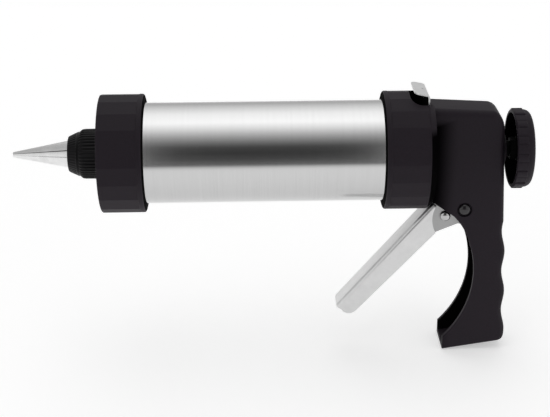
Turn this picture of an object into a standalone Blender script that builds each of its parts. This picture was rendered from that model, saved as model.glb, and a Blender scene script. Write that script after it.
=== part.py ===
"""Cookie press: a stainless barrel with a trigger-driven piston, in metres, +Z up.

The barrel lies along X with the nozzle at -X and the knob at +X. Every piece is placed under one
empty on the barrel's axis, level with the front face of the handle's collar.
"""
import math

import bmesh
import bpy
from mathutils import Vector

MM = 0.001

# Overall
GRIP_REACH = 77.3 * MM            # the grip's lowest point below the collar's lowest point
FIT_GAP = 0.3 * MM                # clearance between pieces that touch
CUT_OVERRUN = 6.0 * MM            # how far a cutter runs past what it cuts

# Barrel
BARREL_RADIUS = 25.0 * MM
BARREL_WALL = 0.6 * MM
BARREL_VISIBLE_LENGTH = 118.3 * MM
BARREL_SEAT_DEPTH = 11.0 * MM     # how deep the barrel sits in the collar
BARREL_CREST = 0.25 * MM          # rolled thread crest round each end of the barrel
BARREL_CREST_HALF_WIDTH = 0.8 * MM
BARREL_CREST_INSET = 4.0 * MM

# Faceted rings, shared by the front ring and the handle's collar
RING_BORE_GAP = 0.6 * MM          # dark gap between ring and barrel
RING_WALL = 3.9 * MM
RING_FACETS = 20
RING_LIP_WIDTH = 2.0 * MM         # plain rim beside the facets
RING_LIP_REACH = 1.0 * MM         # how far the bore's lip stands past the outer rim
RING_EDGE = 0.9 * MM
FACET_STEP = 0.3 * MM             # how far the facets lie under the rim
FRONT_RING_LENGTH = 21.4 * MM
FRONT_RING_WALL = 3.0 * MM
FRONT_RING_TURN_DEG = 5.0
BULKHEAD_THICKNESS = 3.5 * MM
BRAKE_ROOM = 7.1 * MM             # from the bulkhead to the collar's rear edge
COLLAR_CHAMFER = 2.1 * MM
COLLAR_TURN_DEG = 4.0

# Nozzle end
GASKET_THICKNESS = 1.4 * MM
GASKET_WIDTH = 3.0 * MM
FLANGE_THICKNESS = 3.4 * MM
SPOUT_LENGTH = 11.1 * MM
SPOUT_THREADS = 3
FUNNEL_RADIUS = 17.0 * MM
TIP_LENGTH = 35.9 * MM
TIP_BASE_RADIUS = 8.4 * MM
TIP_END_RADIUS = 1.35 * MM
TIP_WALL = 0.45 * MM
SPOUT_STEP = 1.0 * MM              # the spout's outside past the tip's base
SPOUT_ROOM = 1.0 * MM              # round the spout in the ring's hole
SPOUT_WALL = 2.4 * MM
NUT_WALL = 2.75 * MM
NUT_NOSE_LENGTH = 8.4 * MM        # how far the nut reaches past the spout
NUT_LIP = 0.5 * MM                # the nut's front edge outside the tip's base
NUT_CONE_RISE = 2.35 * MM
NUT_CONE_LENGTH = 4.3 * MM
NUT_BAND_LENGTH = 1.5 * MM
NUT_FLUTES = 44
NUT_FLUTE_DEPTH = 0.4 * MM

# Piston and rod
ROD_RADIUS = 4.0 * MM
ROD_STUB_STEP = 1.0 * MM
ROD_HOLE_GAP = 0.35 * MM          # clearance of the rod in plates and bushes
PISTON_INSET = 8.0 * MM           # from the barrel's front rim, with the rod pushed home
PISTON_THICKNESS = 5.0 * MM
PISTON_EDGE_GAP = 0.8 * MM
PISTON_HUB_RADIUS = 9.0 * MM
PISTON_DISH = 1.2 * MM
SEAL_WIDTH = 2.0 * MM
SEAL_DEPTH = 2.2 * MM
WASHER_THICKNESS = 1.5 * MM
WASHER_RADIUS = 9.0 * MM
NUT_ACROSS_FLATS = 10.0 * MM
PISTON_NUT_LENGTH = 5.6 * MM
KNOB_NUT_LENGTH = 3.2 * MM

# Knob
KNOB_STAND_OFF = 5.1 * MM         # behind the handle
KNOB_LENGTH = 9.0 * MM
KNOB_RADIUS = 19.3 * MM
KNOB_RIB_HEIGHT = 0.4 * MM
KNOB_RIBS = 14
KNOB_RIB_SHARE = 0.36             # share of each rib's pitch that is rib
KNOB_GRIP_LENGTH = 5.4 * MM
KNOB_WALL = 1.9 * MM
KNOB_HUB_RADIUS = 6.5 * MM
KNOB_HUB_RECESS = 2.7 * MM
KNOB_DISH = 0.8 * MM

# Handle body
BODY_HALF_WIDTH = 10.5 * MM
BODY_WALL = 2.4 * MM
BODY_LENGTH = 35.1 * MM           # from the collar to the rear wall, at the height of the axis
BODY_SINK = 4.2 * MM              # of the body's top under the collar's top
BODY_TOP_CORNER = 12.5 * MM
BODY_EDGE = 3.0 * MM
BODY_FRONT_EDGE = 0.6 * MM
REAR_LEAN_SHARE = 0.045           # how far the rear line moves back per unit of drop
GRIP_FOOT_RISE = 5.6 * MM         # of the foot's rear end above its toe
GRIP_FOOT_LENGTH = 26.5 * MM      # from the toe back to the rear line
GRIP_FOOT_CORNER = 4.5 * MM
GRIP_ARC_RADIUS = 51.0 * MM
GRIP_ARC_SINK = 34.5 * MM         # of the arc's centre below the collar
GRIP_WAIST = 11.9 * MM
MOUTH_STEP = 1.0 * MM             # where the mouth starts behind the collar
MOUTH_LIFT = 4.8 * MM             # and how far above the collar's lowest point
MOUTH_BEND_BACK = 1.3 * MM        # the mouth's bend behind the pivot
MOUTH_BEND_SINK = 10.5 * MM       # and below it
WAVE_PITCH = 22.0 * MM
WAVE_HEIGHT = 0.75 * MM
WAVE_SINK = 6.5 * MM              # where the finger waves start below the collar
CROWN_MARGIN = 0.3 * MM           # flat left on top between the two crown rounds
NOTCH_DEPTH = 3.1 * MM
NOTCH_REACH = 1.5 * MM            # of the thumb notch in front of the bulkhead's rear face
NOTCH_HALF_WIDTH = 14.0 * MM
NOTCH_CORNER = 5.0 * MM
SLOT_STEP = 1.1 * MM              # of the tab's slot behind the bulkhead
SLOT_ROOM = 3.4 * MM              # of the slot behind the brake plate's foot
COLLAR_FLOOR = 5.5 * MM           # thickness of the collar's bottom wall
RIB_STEP = 1.3 * MM               # of the brake plate's rib behind the plate's foot
RIB_OVERLAP = 2.0 * MM            # how far the rib reaches above the plate's foot

# Trigger
LEVER_SLOPE_DEG = 50.3            # of the trigger's web above the horizontal
LEVER_LENGTH = 83.6 * MM          # from the pivot to the free end, along the web
LEVER_TOP = 8.0 * MM              # from the pivot to the web's upper end
LEVER_WEB_OFFSET = 13.3 * MM      # from the pivot to the web's face
LEVER_STAND_OFF = 1.657 * MM      # between the collar and the trigger's upper end
LEVER_SIDE_ROOM = 1.3 * MM        # between the trigger and the handle's walls
LEVER_SHEET = 1.2 * MM
LEVER_BEND = 1.9 * MM
LEVER_END_ROUND = 2.4 * MM
LEVER_END_DEPTH = 8.8 * MM
LEVER_EAR_DEPTH = 11.9 * MM
LEVER_EAR_FROM = 17.0 * MM
EAR_STEP = 0.8 * MM
EAR_RADIUS = 9.4 * MM
EAR_FROM_DEG = -105
EAR_TO_DEG = 45
JOGGLE_ALONG = 5.3 * MM
JOGGLE_SINK = 3.5 * MM            # of the joggle's centre behind the pivot
JOGGLE_LAP = 1.9 * MM
ARM_NOSE_DROP = 13.7 * MM         # of the noses that push the drive plate, below the rod
ARM_BACK = 3.0 * MM
ARM_NOSE_RADIUS = 3.0 * MM
ARM_NECK_GAP = 1.4 * MM           # under the drive plate's lower edge
ARM_SHOULDER = 4.5 * MM
RIVET_ALONG = 9.5 * MM
RIVET_RISE = 3.7 * MM             # of the rivet in front of the pivot, towards the web
RIVET_RADIUS = 1.6 * MM
RIVET_HEAD_RADIUS = 2.6 * MM
PIVOT_LIFT = 0.8 * MM             # above the collar's lowest point
PIVOT_RADIUS = 2.5 * MM
PIVOT_HEAD_RADIUS = 2.9 * MM
PIVOT_HEAD_HEIGHT = 2.0 * MM
PIVOT_RECESS_RADIUS = 3.8 * MM
PIVOT_RECESS_DEPTH = 1.2 * MM
PIVOT_BOSS_RADIUS = 4.8 * MM
CLIP_RADIUS = 3.4 * MM
CLIP_THICKNESS = 0.8 * MM

# Drive and brake
PLATE_THICKNESS = 1.5 * MM
DRIVE_PLATE_THICKNESS = 2.0 * MM
DRIVE_PLATE_SIDE_ROOM = 1.1 * MM
DRIVE_PLATE_HEADROOM = 14.3 * MM  # under the body's top
DRIVE_PLATE_LAP = 3.1 * MM        # of the plate below the noses' middle
GUIDE_PLATE_STEP = 1.5 * MM       # behind the collar
GUIDE_PLATE_HALF_HEIGHT = 13.0 * MM
GROOVE_DEPTH = 0.8 * MM
BRAKE_FOOT_STEP = 5.4 * MM        # behind the bulkhead
BRAKE_FOOT_DROP = 17.5 * MM
BRAKE_FOOT_REACH = 2.0 * MM
BRAKE_CANT_DEG = 2.5
TAB_BEND_LIFT = 0.5 * MM          # above the collar's top
TAB_TIP_LIFT = 2.7 * MM
TAB_REACH = 6.4 * MM              # of the tab's tip in front of the plate's foot
TAB_BEND_RADIUS = 2.2 * MM
TAB_CORNER = 3.0 * MM
DRIVE_WIRE = 1.0 * MM
DRIVE_COIL_ROOM = 0.8 * MM        # between the wide end of the spring's wire and the walls
DRIVE_COIL_BACK = 5.6 * MM
DRIVE_TURNS = 4
BRAKE_WIRE = 0.8 * MM
BRAKE_COIL_ROOM = 0.9 * MM
BRAKE_COIL_BACK = 5.6 * MM
BRAKE_TURNS = 3
FRONT_BUSH_WALL = 2.15 * MM
FRONT_BUSH_FLANGE_WIDTH = 2.5 * MM
FRONT_BUSH_FLANGE = 1.4 * MM
REAR_BUSH_WALL = 1.65 * MM
REAR_BUSH_FLANGE_WIDTH = 1.5 * MM
REAR_BUSH_FLANGE = 1.1 * MM

# Mesh fineness
RING_STEPS = 40
INNER_STEPS = 32
SMALL_STEPS = 18
PIN_STEPS = 14
EDGE_STEPS = 4
ARC_STEPS = 12
COIL_STEPS = 9
WIRE_SIDES = 5
MICRON = 0.001 * MM

# Worked out from the sizes above: barrel, rings and nozzle
FRONT_RING_X = -(BARREL_VISIBLE_LENGTH + FRONT_RING_LENGTH)
FLANGE_FRONT_X = FRONT_RING_X + FRONT_RING_WALL + FIT_GAP
FLANGE_REAR_X = FLANGE_FRONT_X + FLANGE_THICKNESS
GASKET_X = FLANGE_REAR_X + FIT_GAP
BARREL_FRONT_X = GASKET_X + GASKET_THICKNESS + FIT_GAP
BARREL_REAR_X = BARREL_SEAT_DEPTH - FIT_GAP
BARREL_BORE = BARREL_RADIUS - BARREL_WALL
RING_BORE = BARREL_RADIUS + RING_BORE_GAP
RING_RADIUS = RING_BORE + RING_WALL
AXIS_HEIGHT = RING_RADIUS + GRIP_REACH
SPOUT_RADIUS = TIP_BASE_RADIUS + SPOUT_STEP
SPOUT_BORE_RADIUS = SPOUT_RADIUS - SPOUT_WALL
SPOUT_END_X = FLANGE_FRONT_X - SPOUT_LENGTH
TIP_BASE_X = SPOUT_END_X - FIT_GAP
TIP_END_X = TIP_BASE_X - TIP_LENGTH
NUT_RADIUS = SPOUT_RADIUS + FIT_GAP + NUT_WALL
NUT_FRONT_RADIUS = TIP_BASE_RADIUS + NUT_LIP
NUT_CONE_RADIUS = TIP_BASE_RADIUS + NUT_CONE_RISE
NUT_REAR_X = FRONT_RING_X - 2 * FIT_GAP
NUT_FRONT_X = SPOUT_END_X - NUT_NOSE_LENGTH
FRONT_RING_HOLE_RADIUS = SPOUT_RADIUS + SPOUT_ROOM

# Worked out: collar and body
BULKHEAD_REAR_X = BARREL_SEAT_DEPTH + BULKHEAD_THICKNESS
COLLAR_LENGTH = BULKHEAD_REAR_X + BRAKE_ROOM
COLLAR_END_X = COLLAR_LENGTH + COLLAR_CHAMFER
COLLAR_FLOOR_DROP = RING_RADIUS - COLLAR_FLOOR
CAVITY_HALF_WIDTH = BODY_HALF_WIDTH - BODY_WALL
BODY_TOP = RING_RADIUS - BODY_SINK
BODY_REAR_X = COLLAR_END_X + BODY_LENGTH
GRIP_BOTTOM_REAR = AXIS_HEIGHT - GRIP_FOOT_RISE
GRIP_TOE_X = BODY_REAR_X - GRIP_FOOT_LENGTH
GRIP_ARC_DROP = RING_RADIUS + GRIP_ARC_SINK
GRIP_ARC_X = BODY_REAR_X - GRIP_WAIST - GRIP_ARC_RADIUS
WAVE_TOP_DROP = RING_RADIUS + WAVE_SINK
NOTCH_FLOOR = RING_RADIUS - NOTCH_DEPTH
NOTCH_FRONT_X = BULKHEAD_REAR_X - NOTCH_REACH
SLOT_FRONT_X = BULKHEAD_REAR_X + SLOT_STEP

# Worked out: trigger
LEVER_SLOPE = math.radians(LEVER_SLOPE_DEG)
ALONG = Vector((-math.cos(LEVER_SLOPE), -math.sin(LEVER_SLOPE)))
ACROSS = Vector((math.sin(LEVER_SLOPE), -math.cos(LEVER_SLOPE)))
LEVER_LEAN = LEVER_TOP * math.cos(LEVER_SLOPE) + LEVER_WEB_OFFSET * math.sin(LEVER_SLOPE)
PIVOT_X = COLLAR_END_X + LEVER_STAND_OFF + LEVER_LEAN
PIVOT_DROP = RING_RADIUS - PIVOT_LIFT
MOUTH_TOP_X = COLLAR_END_X + MOUTH_STEP
MOUTH_TOP_DROP = RING_RADIUS - MOUTH_LIFT
MOUTH_BEND_X = PIVOT_X + MOUTH_BEND_BACK
MOUTH_BEND_DROP = PIVOT_DROP + MOUTH_BEND_SINK
LEVER_HALF_WIDTH = CAVITY_HALF_WIDTH - LEVER_SIDE_ROOM
EAR_OUTER = LEVER_HALF_WIDTH - EAR_STEP
EAR_INNER = EAR_OUTER - LEVER_SHEET
JOGGLE_DEPTH = LEVER_WEB_OFFSET + JOGGLE_SINK
JOGGLE_RADIUS = JOGGLE_DEPTH - JOGGLE_LAP
RIVET_DEPTH = LEVER_WEB_OFFSET - RIVET_RISE
RIVET_HEAD_HEIGHT = CAVITY_HALF_WIDTH - EAR_OUTER - 2 * FIT_GAP
ARM_LENGTH = PIVOT_DROP - ARM_NOSE_DROP

# Worked out: plates, springs and bushes
DRIVE_PLATE_HALF_WIDTH = CAVITY_HALF_WIDTH - DRIVE_PLATE_SIDE_ROOM
DRIVE_PLATE_TOP = BODY_TOP - DRIVE_PLATE_HEADROOM
DRIVE_PLATE_DROP = ARM_NOSE_DROP + DRIVE_PLATE_LAP
DRIVE_PLATE_REAR_X = PIVOT_X + ARM_BACK - ARM_NOSE_RADIUS - FIT_GAP
DRIVE_PLATE_FRONT_X = DRIVE_PLATE_REAR_X - DRIVE_PLATE_THICKNESS
GUIDE_PLATE_X = COLLAR_END_X + GUIDE_PLATE_STEP
BRAKE_HALF_WIDTH = CAVITY_HALF_WIDTH - FIT_GAP
BRAKE_FOOT_X = BULKHEAD_REAR_X + BRAKE_FOOT_STEP
SLOT_REAR_X = BRAKE_FOOT_X + SLOT_ROOM
FULCRUM_RIB_X = BRAKE_FOOT_X + RIB_STEP
FULCRUM_RIB_LENGTH = COLLAR_END_X - FIT_GAP - FULCRUM_RIB_X
FULCRUM_RIB_TOP_DROP = BRAKE_FOOT_DROP - RIB_OVERLAP
TAB_BEND_HEIGHT = RING_RADIUS + TAB_BEND_LIFT
TAB_TIP_HEIGHT = RING_RADIUS + TAB_TIP_LIFT
TAB_TIP_X = BRAKE_FOOT_X - TAB_REACH
DRIVE_COIL_FRONT = CAVITY_HALF_WIDTH - DRIVE_COIL_ROOM
BRAKE_COIL_FRONT = CAVITY_HALF_WIDTH - BRAKE_COIL_ROOM
ROD_HOLE = ROD_RADIUS + ROD_HOLE_GAP
ROD_STUB_RADIUS = ROD_RADIUS - ROD_STUB_STEP
STUB_HOLE = ROD_STUB_RADIUS + FIT_GAP
FRONT_BUSH_RADIUS = ROD_HOLE + FRONT_BUSH_WALL
FRONT_BUSH_FLANGE_RADIUS = FRONT_BUSH_RADIUS + FRONT_BUSH_FLANGE_WIDTH
REAR_BUSH_RADIUS = ROD_HOLE + REAR_BUSH_WALL
REAR_BUSH_FLANGE_RADIUS = REAR_BUSH_RADIUS + REAR_BUSH_FLANGE_WIDTH

# Worked out: piston, rod and knob
PISTON_FRONT_X = BARREL_FRONT_X + PISTON_INSET
PISTON_BACK_X = PISTON_FRONT_X + PISTON_THICKNESS
ROD_SHOULDER_X = PISTON_BACK_X + WASHER_THICKNESS + 2 * FIT_GAP
KNOB_FRONT_X = BODY_REAR_X + KNOB_STAND_OFF
KNOB_REAR_X = KNOB_FRONT_X + KNOB_LENGTH
KNOB_HUB_X = KNOB_FRONT_X + KNOB_HUB_RECESS
KNOB_NUT_REAR_X = KNOB_HUB_X - FIT_GAP
KNOB_NUT_FRONT_X = KNOB_NUT_REAR_X - KNOB_NUT_LENGTH
ROD_REAR_SHOULDER_X = KNOB_NUT_FRONT_X - FIT_GAP
MIDDLE_X = (TIP_END_X + KNOB_REAR_X) / 2


def clear_scene():
    """Remove whatever the file holds before the model is made."""
    for thing in list(bpy.data.objects):
        bpy.data.objects.remove(thing, do_unlink=True)


def make_material(name, colour, roughness, metallic):
    """One Principled material."""
    material = bpy.data.materials.new(name)
    material.use_nodes = True
    shader = material.node_tree.nodes["Principled BSDF"]
    shader.inputs["Base Color"].default_value = (*colour, 1.0)
    shader.inputs["Roughness"].default_value = roughness
    shader.inputs["Metallic"].default_value = metallic
    return material


def make_frame():
    """The empty on the barrel's axis that carries every piece."""
    empty = bpy.data.objects.new("press_axis", None)
    empty.location = (-MIDDLE_X, 0, AXIS_HEIGHT)
    bpy.context.scene.collection.objects.link(empty)
    return empty


def make_object(name, vertices, faces, material, location=(0, 0, 0), sharp_deg=35):
    """Mesh data as an object under the frame, with its vertices given in the frame's own space."""
    mesh = bpy.data.meshes.new(name)
    origin = Vector(location)
    mesh.from_pydata([Vector(point) - origin for point in vertices], [], faces)
    work = bmesh.new()
    work.from_mesh(mesh)
    bmesh.ops.recalc_face_normals(work, faces=work.faces)
    work.to_mesh(mesh)
    work.free()
    mesh.shade_smooth()
    mesh.set_sharp_from_angle(angle=math.radians(sharp_deg))
    if material:
        mesh.materials.append(material)
    thing = bpy.data.objects.new(name, mesh)
    thing.location = origin
    thing.parent = FRAME
    bpy.context.scene.collection.objects.link(thing)
    return thing


def make_cutter(name, vertices, faces):
    """A helper solid that only modifiers use."""
    thing = make_object(name, vertices, faces, None)
    thing.hide_render = True
    thing.display_type = "WIRE"
    return thing


def combine(target, helper, operation):
    """Join or cut the target with a helper, as a Boolean that stays on it."""
    step = target.modifiers.new(helper.name, "BOOLEAN")
    step.operation = operation
    step.object = helper
    return step


def cut(target, helper):
    combine(target, helper, "DIFFERENCE")


def join(target, helper):
    combine(target, helper, "UNION")


def stitch(loops, closed):
    """Vertices and quads between loops of equal length; a loop of one point is a pole."""
    vertices = []
    starts = []
    for loop in loops:
        starts.append(len(vertices))
        vertices.extend(loop)
    faces = []
    pairs = list(zip(range(len(loops) - 1), range(1, len(loops))))
    if closed:
        pairs.append((len(loops) - 1, 0))
    for first, second in pairs:
        a, b = starts[first], starts[second]
        size_a, size_b = len(loops[first]), len(loops[second])
        size = max(size_a, size_b)
        for i in range(size):
            j = (i + 1) % size
            if size_a == 1:
                faces.append((a, b + j, b + i))
            elif size_b == 1:
                faces.append((a + i, a + j, b))
            else:
                faces.append((a + i, a + j, b + j, b + i))
    return vertices, faces


def round_angles(steps, turn_deg=0.0):
    """Evenly spaced angles round the axis."""
    start = math.radians(turn_deg)
    return [start + 2 * math.pi * i / steps for i in range(steps)]


def turned(stations, angles, lifts=None, closed=True, axis="X"):
    """Turn stations (place, radius[, share of lift]) about X, or about Y for cross pins."""
    loops = []
    for station in stations:
        place, radius = station[0], station[1]
        share = station[2] if len(station) > 2 else 0
        if radius == 0:
            ring = [(place, 0, 0)]
        else:
            ring = []
            for i, angle in enumerate(angles):
                reach = radius + (share * lifts[i] if share else 0)
                ring.append((place, -reach * math.cos(angle), reach * math.sin(angle)))
        if axis == "Y":
            ring = [(-y, x, z) for x, y, z in ring]
        loops.append(ring)
    return stitch(loops, closed)


def moved(shape, offset):
    """The same vertices and faces, moved."""
    vertices, faces = shape
    return [Vector(point) + Vector(offset) for point in vertices], faces


def facet_lifts(angles, count, turn_deg):
    """How far a flat facet lies inside the round of its corners, as a share of the radius."""
    half = math.pi / count
    lifts = []
    for angle in angles:
        local = (angle - math.radians(turn_deg)) % (2 * half) - half
        lifts.append(math.cos(half) / math.cos(local) - 1)
    return lifts


def extruded(outline, low, high, axis="Y"):
    """A flat outline (first, second) drawn out along Y, or along X for upright plates."""
    def place(point, depth):
        if axis == "Y":
            return (point[0], depth, point[1])
        if axis == "X":
            return (depth, point[0], point[1])
        return (point[0], point[1], depth)
    size = len(outline)
    vertices = [place(point, low) for point in outline] + [place(point, high) for point in outline]
    faces = [tuple(range(size)), tuple(range(2 * size - 1, size - 1, -1))]
    for i in range(size):
        j = (i + 1) % size
        faces.append((i, i + size, j + size, j))
    return vertices, faces


def arc(centre, radius, from_deg, to_deg, steps):
    """Points on an arc, both ends included."""
    points = []
    for i in range(steps + 1):
        angle = math.radians(from_deg + (to_deg - from_deg) * i / steps)
        points.append((centre[0] + radius * math.cos(angle), centre[1] + radius * math.sin(angle)))
    return points


def bend(start, corner, end, steps):
    """Points on a smooth bend that leaves start and reaches end along the corner's two lines."""
    points = []
    for i in range(steps + 1):
        t = i / steps
        near, middle, far = (1 - t) ** 2, 2 * t * (1 - t), t ** 2
        points.append((near * start[0] + middle * corner[0] + far * end[0],
                       near * start[1] + middle * corner[1] + far * end[1]))
    return points


def rounded_box(half_a, half_b, corner, steps=EDGE_STEPS):
    """Outline of a rectangle about zero with round corners."""
    points = []
    for sign_a, sign_b, start in ((1, 1, 0), (-1, 1, 90), (-1, -1, 180), (1, -1, 270)):
        centre = (sign_a * (half_a - corner), sign_b * (half_b - corner))
        points.extend(arc(centre, corner, start, start + 90, steps))
    return points


def inward_normals(outline):
    """Mitred inward normals of a closed outline."""
    area = 0
    size = len(outline)
    for i in range(size):
        a, b = outline[i], outline[(i + 1) % size]
        area += a[0] * b[1] - b[0] * a[1]
    turn = 1 if area > 0 else -1
    normals = []
    for i in range(size):
        before = Vector(outline[i]) - Vector(outline[i - 1])
        after = Vector(outline[(i + 1) % size]) - Vector(outline[i])
        sides = [Vector((-edge.y, edge.x)).normalized() * turn for edge in (before, after)]
        middle = (sides[0] + sides[1]).normalized()
        normals.append(middle / max(middle.dot(sides[0]), 0.5))
    return normals


def slide_on_front(outline, normals):
    """Keep the first and last points on the flat front edge that runs between them."""
    for end, inner in ((0, 1), (-1, -2)):
        edge = (Vector(outline[inner]) - Vector(outline[end])).normalized()
        side = Vector((-edge.y, edge.x))
        rise = side.y if side.dot(normals[end]) > 0 else -side.y
        normals[end] = Vector((0, 1 / rise))


def rounded_slab(outline, rounds, half_width, flat_front=False):
    """An outline in X and Z drawn out to both sides, each point with its own edge rounding."""
    normals = inward_normals(outline)
    if flat_front:
        slide_on_front(outline, normals)
    loops = []
    for side in (-1, 1):
        angles = [math.pi / 2 * k / EDGE_STEPS for k in range(EDGE_STEPS + 1)]
        if side < 0:
            angles.reverse()
        for angle in angles:
            loop = []
            for point, radius, normal in zip(outline, rounds, normals):
                inset = radius * (1 - math.cos(angle))
                depth = half_width - radius + radius * math.sin(angle)
                loop.append((point[0] + inset * normal.x, side * depth, point[1] + inset * normal.y))
            loops.append(loop)
    vertices, faces = stitch(loops, False)
    size = len(outline)
    faces.append(tuple(range(size)))
    faces.append(tuple(range(len(vertices) - 1, len(vertices) - size - 1, -1)))
    return vertices, faces


def helix(start_x, end_x, start_radius, end_radius, turns):
    """Points of a spring about the rod's axis."""
    points = []
    total = turns * COIL_STEPS
    for i in range(total + 1):
        t = i / total
        angle = 2 * math.pi * turns * t
        radius = start_radius + (end_radius - start_radius) * t
        points.append(Vector((start_x + (end_x - start_x) * t,
                              radius * math.cos(angle), radius * math.sin(angle))))
    return points


def wire_tube(points, radius, sides):
    """A round wire along points that wind about the X axis, closed at both ends."""
    loops = []
    for i, point in enumerate(points):
        ahead = points[min(i + 1, len(points) - 1)] - points[max(i - 1, 0)]
        out = Vector((0, point.y, point.z)).normalized()
        side = ahead.cross(out).normalized()
        out = side.cross(ahead).normalized()
        loops.append([point + radius * (math.cos(a) * out + math.sin(a) * side)
                      for a in round_angles(sides)])
    vertices, faces = stitch(loops, False)
    faces.append(tuple(range(sides)))
    faces.append(tuple(range(len(vertices) - 1, len(vertices) - sides - 1, -1)))
    return vertices, faces


def place_on_lever(along, depth):
    """A point given along the trigger's web and behind its face, in X and Z."""
    pivot = Vector((PIVOT_X, -PIVOT_DROP))
    spot = pivot + along * ALONG + (depth - LEVER_WEB_OFFSET) * ACROSS
    return (spot.x, spot.y)


def on_lever(points):
    return [place_on_lever(along, depth) for along, depth in points]


def rear_x(height):
    """The handle's rear line, leaning back as it goes down."""
    return BODY_REAR_X - REAR_LEAN_SHARE * height


def body_outline():
    """Side outline of the handle's body and grip, with an edge rounding for each point."""
    points, rounds = [], []
    crown = BODY_HALF_WIDTH - CROWN_MARGIN
    front_x = (BARREL_SEAT_DEPTH + BULKHEAD_REAR_X) / 2

    def add(new, radius_from, radius_to=None):
        end = radius_from if radius_to is None else radius_to
        for i, point in enumerate(new):
            share = i / max(len(new) - 1, 1)
            points.append(point)
            rounds.append(radius_from + (end - radius_from) * share)

    corner_height = BODY_TOP - BODY_TOP_CORNER
    corner_x = rear_x(corner_height) - BODY_TOP_CORNER
    add([(front_x, BODY_TOP)], crown)
    add(arc((corner_x, corner_height), BODY_TOP_CORNER, 90, 0, ARC_STEPS // 2), crown, BODY_EDGE)
    rear_bottom = GRIP_BOTTOM_REAR - GRIP_FOOT_CORNER
    wave_steps = round((rear_bottom - WAVE_TOP_DROP) / WAVE_PITCH * EDGE_STEPS * 2)
    waves = []
    for i in range(1, wave_steps + 1):
        drop = WAVE_TOP_DROP + (rear_bottom - WAVE_TOP_DROP) * i / wave_steps
        phase = 2 * math.pi * (drop - WAVE_TOP_DROP) / WAVE_PITCH
        waves.append((rear_x(-drop) - WAVE_HEIGHT * math.sin(phase), -drop))
    add([(rear_x(-WAVE_TOP_DROP), -WAVE_TOP_DROP)], BODY_EDGE)
    add(waves, BODY_EDGE)
    foot_rear = (waves[-1][0] - GRIP_FOOT_CORNER, -GRIP_BOTTOM_REAR)
    add(bend(waves[-1], (waves[-1][0], -GRIP_BOTTOM_REAR), foot_rear, EDGE_STEPS)[1:],
        BODY_EDGE, BODY_EDGE / 2)
    toe = (GRIP_TOE_X, -AXIS_HEIGHT)
    add([toe], BODY_FRONT_EDGE)
    toe_rise = math.degrees(math.acos((GRIP_TOE_X - GRIP_ARC_X) / GRIP_ARC_RADIUS))
    mouth_rise = 17.5
    add(arc((GRIP_ARC_X, -GRIP_ARC_DROP), GRIP_ARC_RADIUS, -toe_rise, mouth_rise, ARC_STEPS),
        BODY_FRONT_EDGE)
    mouth_top = (MOUTH_TOP_X, -MOUTH_TOP_DROP)
    corner = (MOUTH_BEND_X, -MOUTH_BEND_DROP)
    lead = [mouth_top[k] + 0.62 * (corner[k] - mouth_top[k]) for k in (0, 1)]
    add(bend(points[-1], corner, lead, EDGE_STEPS + 1)[1:], BODY_FRONT_EDGE)
    add([mouth_top], BODY_FRONT_EDGE)
    slope = (corner[1] - mouth_top[1]) / (corner[0] - mouth_top[0])
    add([(front_x, mouth_top[1] + slope * (front_x - mouth_top[0]))], BODY_FRONT_EDGE)
    return points, rounds


def cavity_outline():
    """Side outline of the hollow: the pocket behind the bulkhead, the body and the open grip."""
    crown = CAVITY_HALF_WIDTH - CROWN_MARGIN
    inner_corner = BODY_TOP_CORNER - BODY_WALL
    corner_height = BODY_TOP - BODY_TOP_CORNER
    corner_x = rear_x(corner_height) - BODY_TOP_CORNER
    top = BODY_TOP - BODY_WALL
    floor_rear = GRIP_BOTTOM_REAR - BODY_WALL
    points = [(BULKHEAD_REAR_X, top)]
    points += arc((corner_x, corner_height), inner_corner, 90, 0, ARC_STEPS // 2)
    rounds = [crown] + [crown + (BODY_FRONT_EDGE - crown) * i / (len(points) - 2)
                        for i in range(len(points) - 1)]
    rear_inset = BODY_WALL + WAVE_HEIGHT
    tail = [(rear_x(-floor_rear) - rear_inset, -floor_rear),
            (GRIP_TOE_X, BODY_WALL - AXIS_HEIGHT),
            (GRIP_TOE_X - CUT_OVERRUN, BODY_WALL - AXIS_HEIGHT),
            (GRIP_TOE_X - CUT_OVERRUN, -GRIP_ARC_DROP),
            (COLLAR_LENGTH + COLLAR_CHAMFER + FIT_GAP, -GRIP_ARC_DROP),
            (COLLAR_LENGTH + COLLAR_CHAMFER + FIT_GAP, -COLLAR_FLOOR_DROP),
            (BULKHEAD_REAR_X, -COLLAR_FLOOR_DROP)]
    points += tail
    rounds += [BODY_FRONT_EDGE] * len(tail)
    return points, rounds


def collar_shape():
    """The faceted collar with the barrel's socket, solid behind its bulkhead's front face."""
    angles = round_angles(RING_STEPS, COLLAR_TURN_DEG)
    lifts = facet_lifts(angles, RING_FACETS, COLLAR_TURN_DEG)
    facet = RING_RADIUS - FACET_STEP
    low = RING_RADIUS - COLLAR_CHAMFER
    stations = [(BARREL_SEAT_DEPTH, 0),
                (BARREL_SEAT_DEPTH, RING_BORE),
                (-RING_LIP_REACH, RING_BORE),
                (-RING_EDGE / 4, RING_RADIUS - RING_EDGE / 2),
                (RING_EDGE / 2, RING_RADIUS),
                (RING_LIP_WIDTH, RING_RADIUS),
                (RING_LIP_WIDTH + FACET_STEP, facet, facet),
                (COLLAR_LENGTH - RING_LIP_WIDTH / 2 - FACET_STEP, facet, facet),
                (COLLAR_LENGTH - RING_LIP_WIDTH / 2, RING_RADIUS),
                (COLLAR_LENGTH - RING_EDGE / 2, RING_RADIUS - RING_EDGE / 4),
                (COLLAR_LENGTH + COLLAR_CHAMFER, low),
                (COLLAR_LENGTH + COLLAR_CHAMFER, 0)]
    return make_cutter("collar_shape", *turned(stations, angles, lifts, closed=False))


def rod_hole_cutter(name, low_x, high_x, radius):
    """A round hole on the rod's axis."""
    outline = arc((0, 0), radius, 0, 360, SMALL_STEPS)[:-1]
    return make_cutter(name, *extruded(outline, low_x, high_x, "X"))


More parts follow.
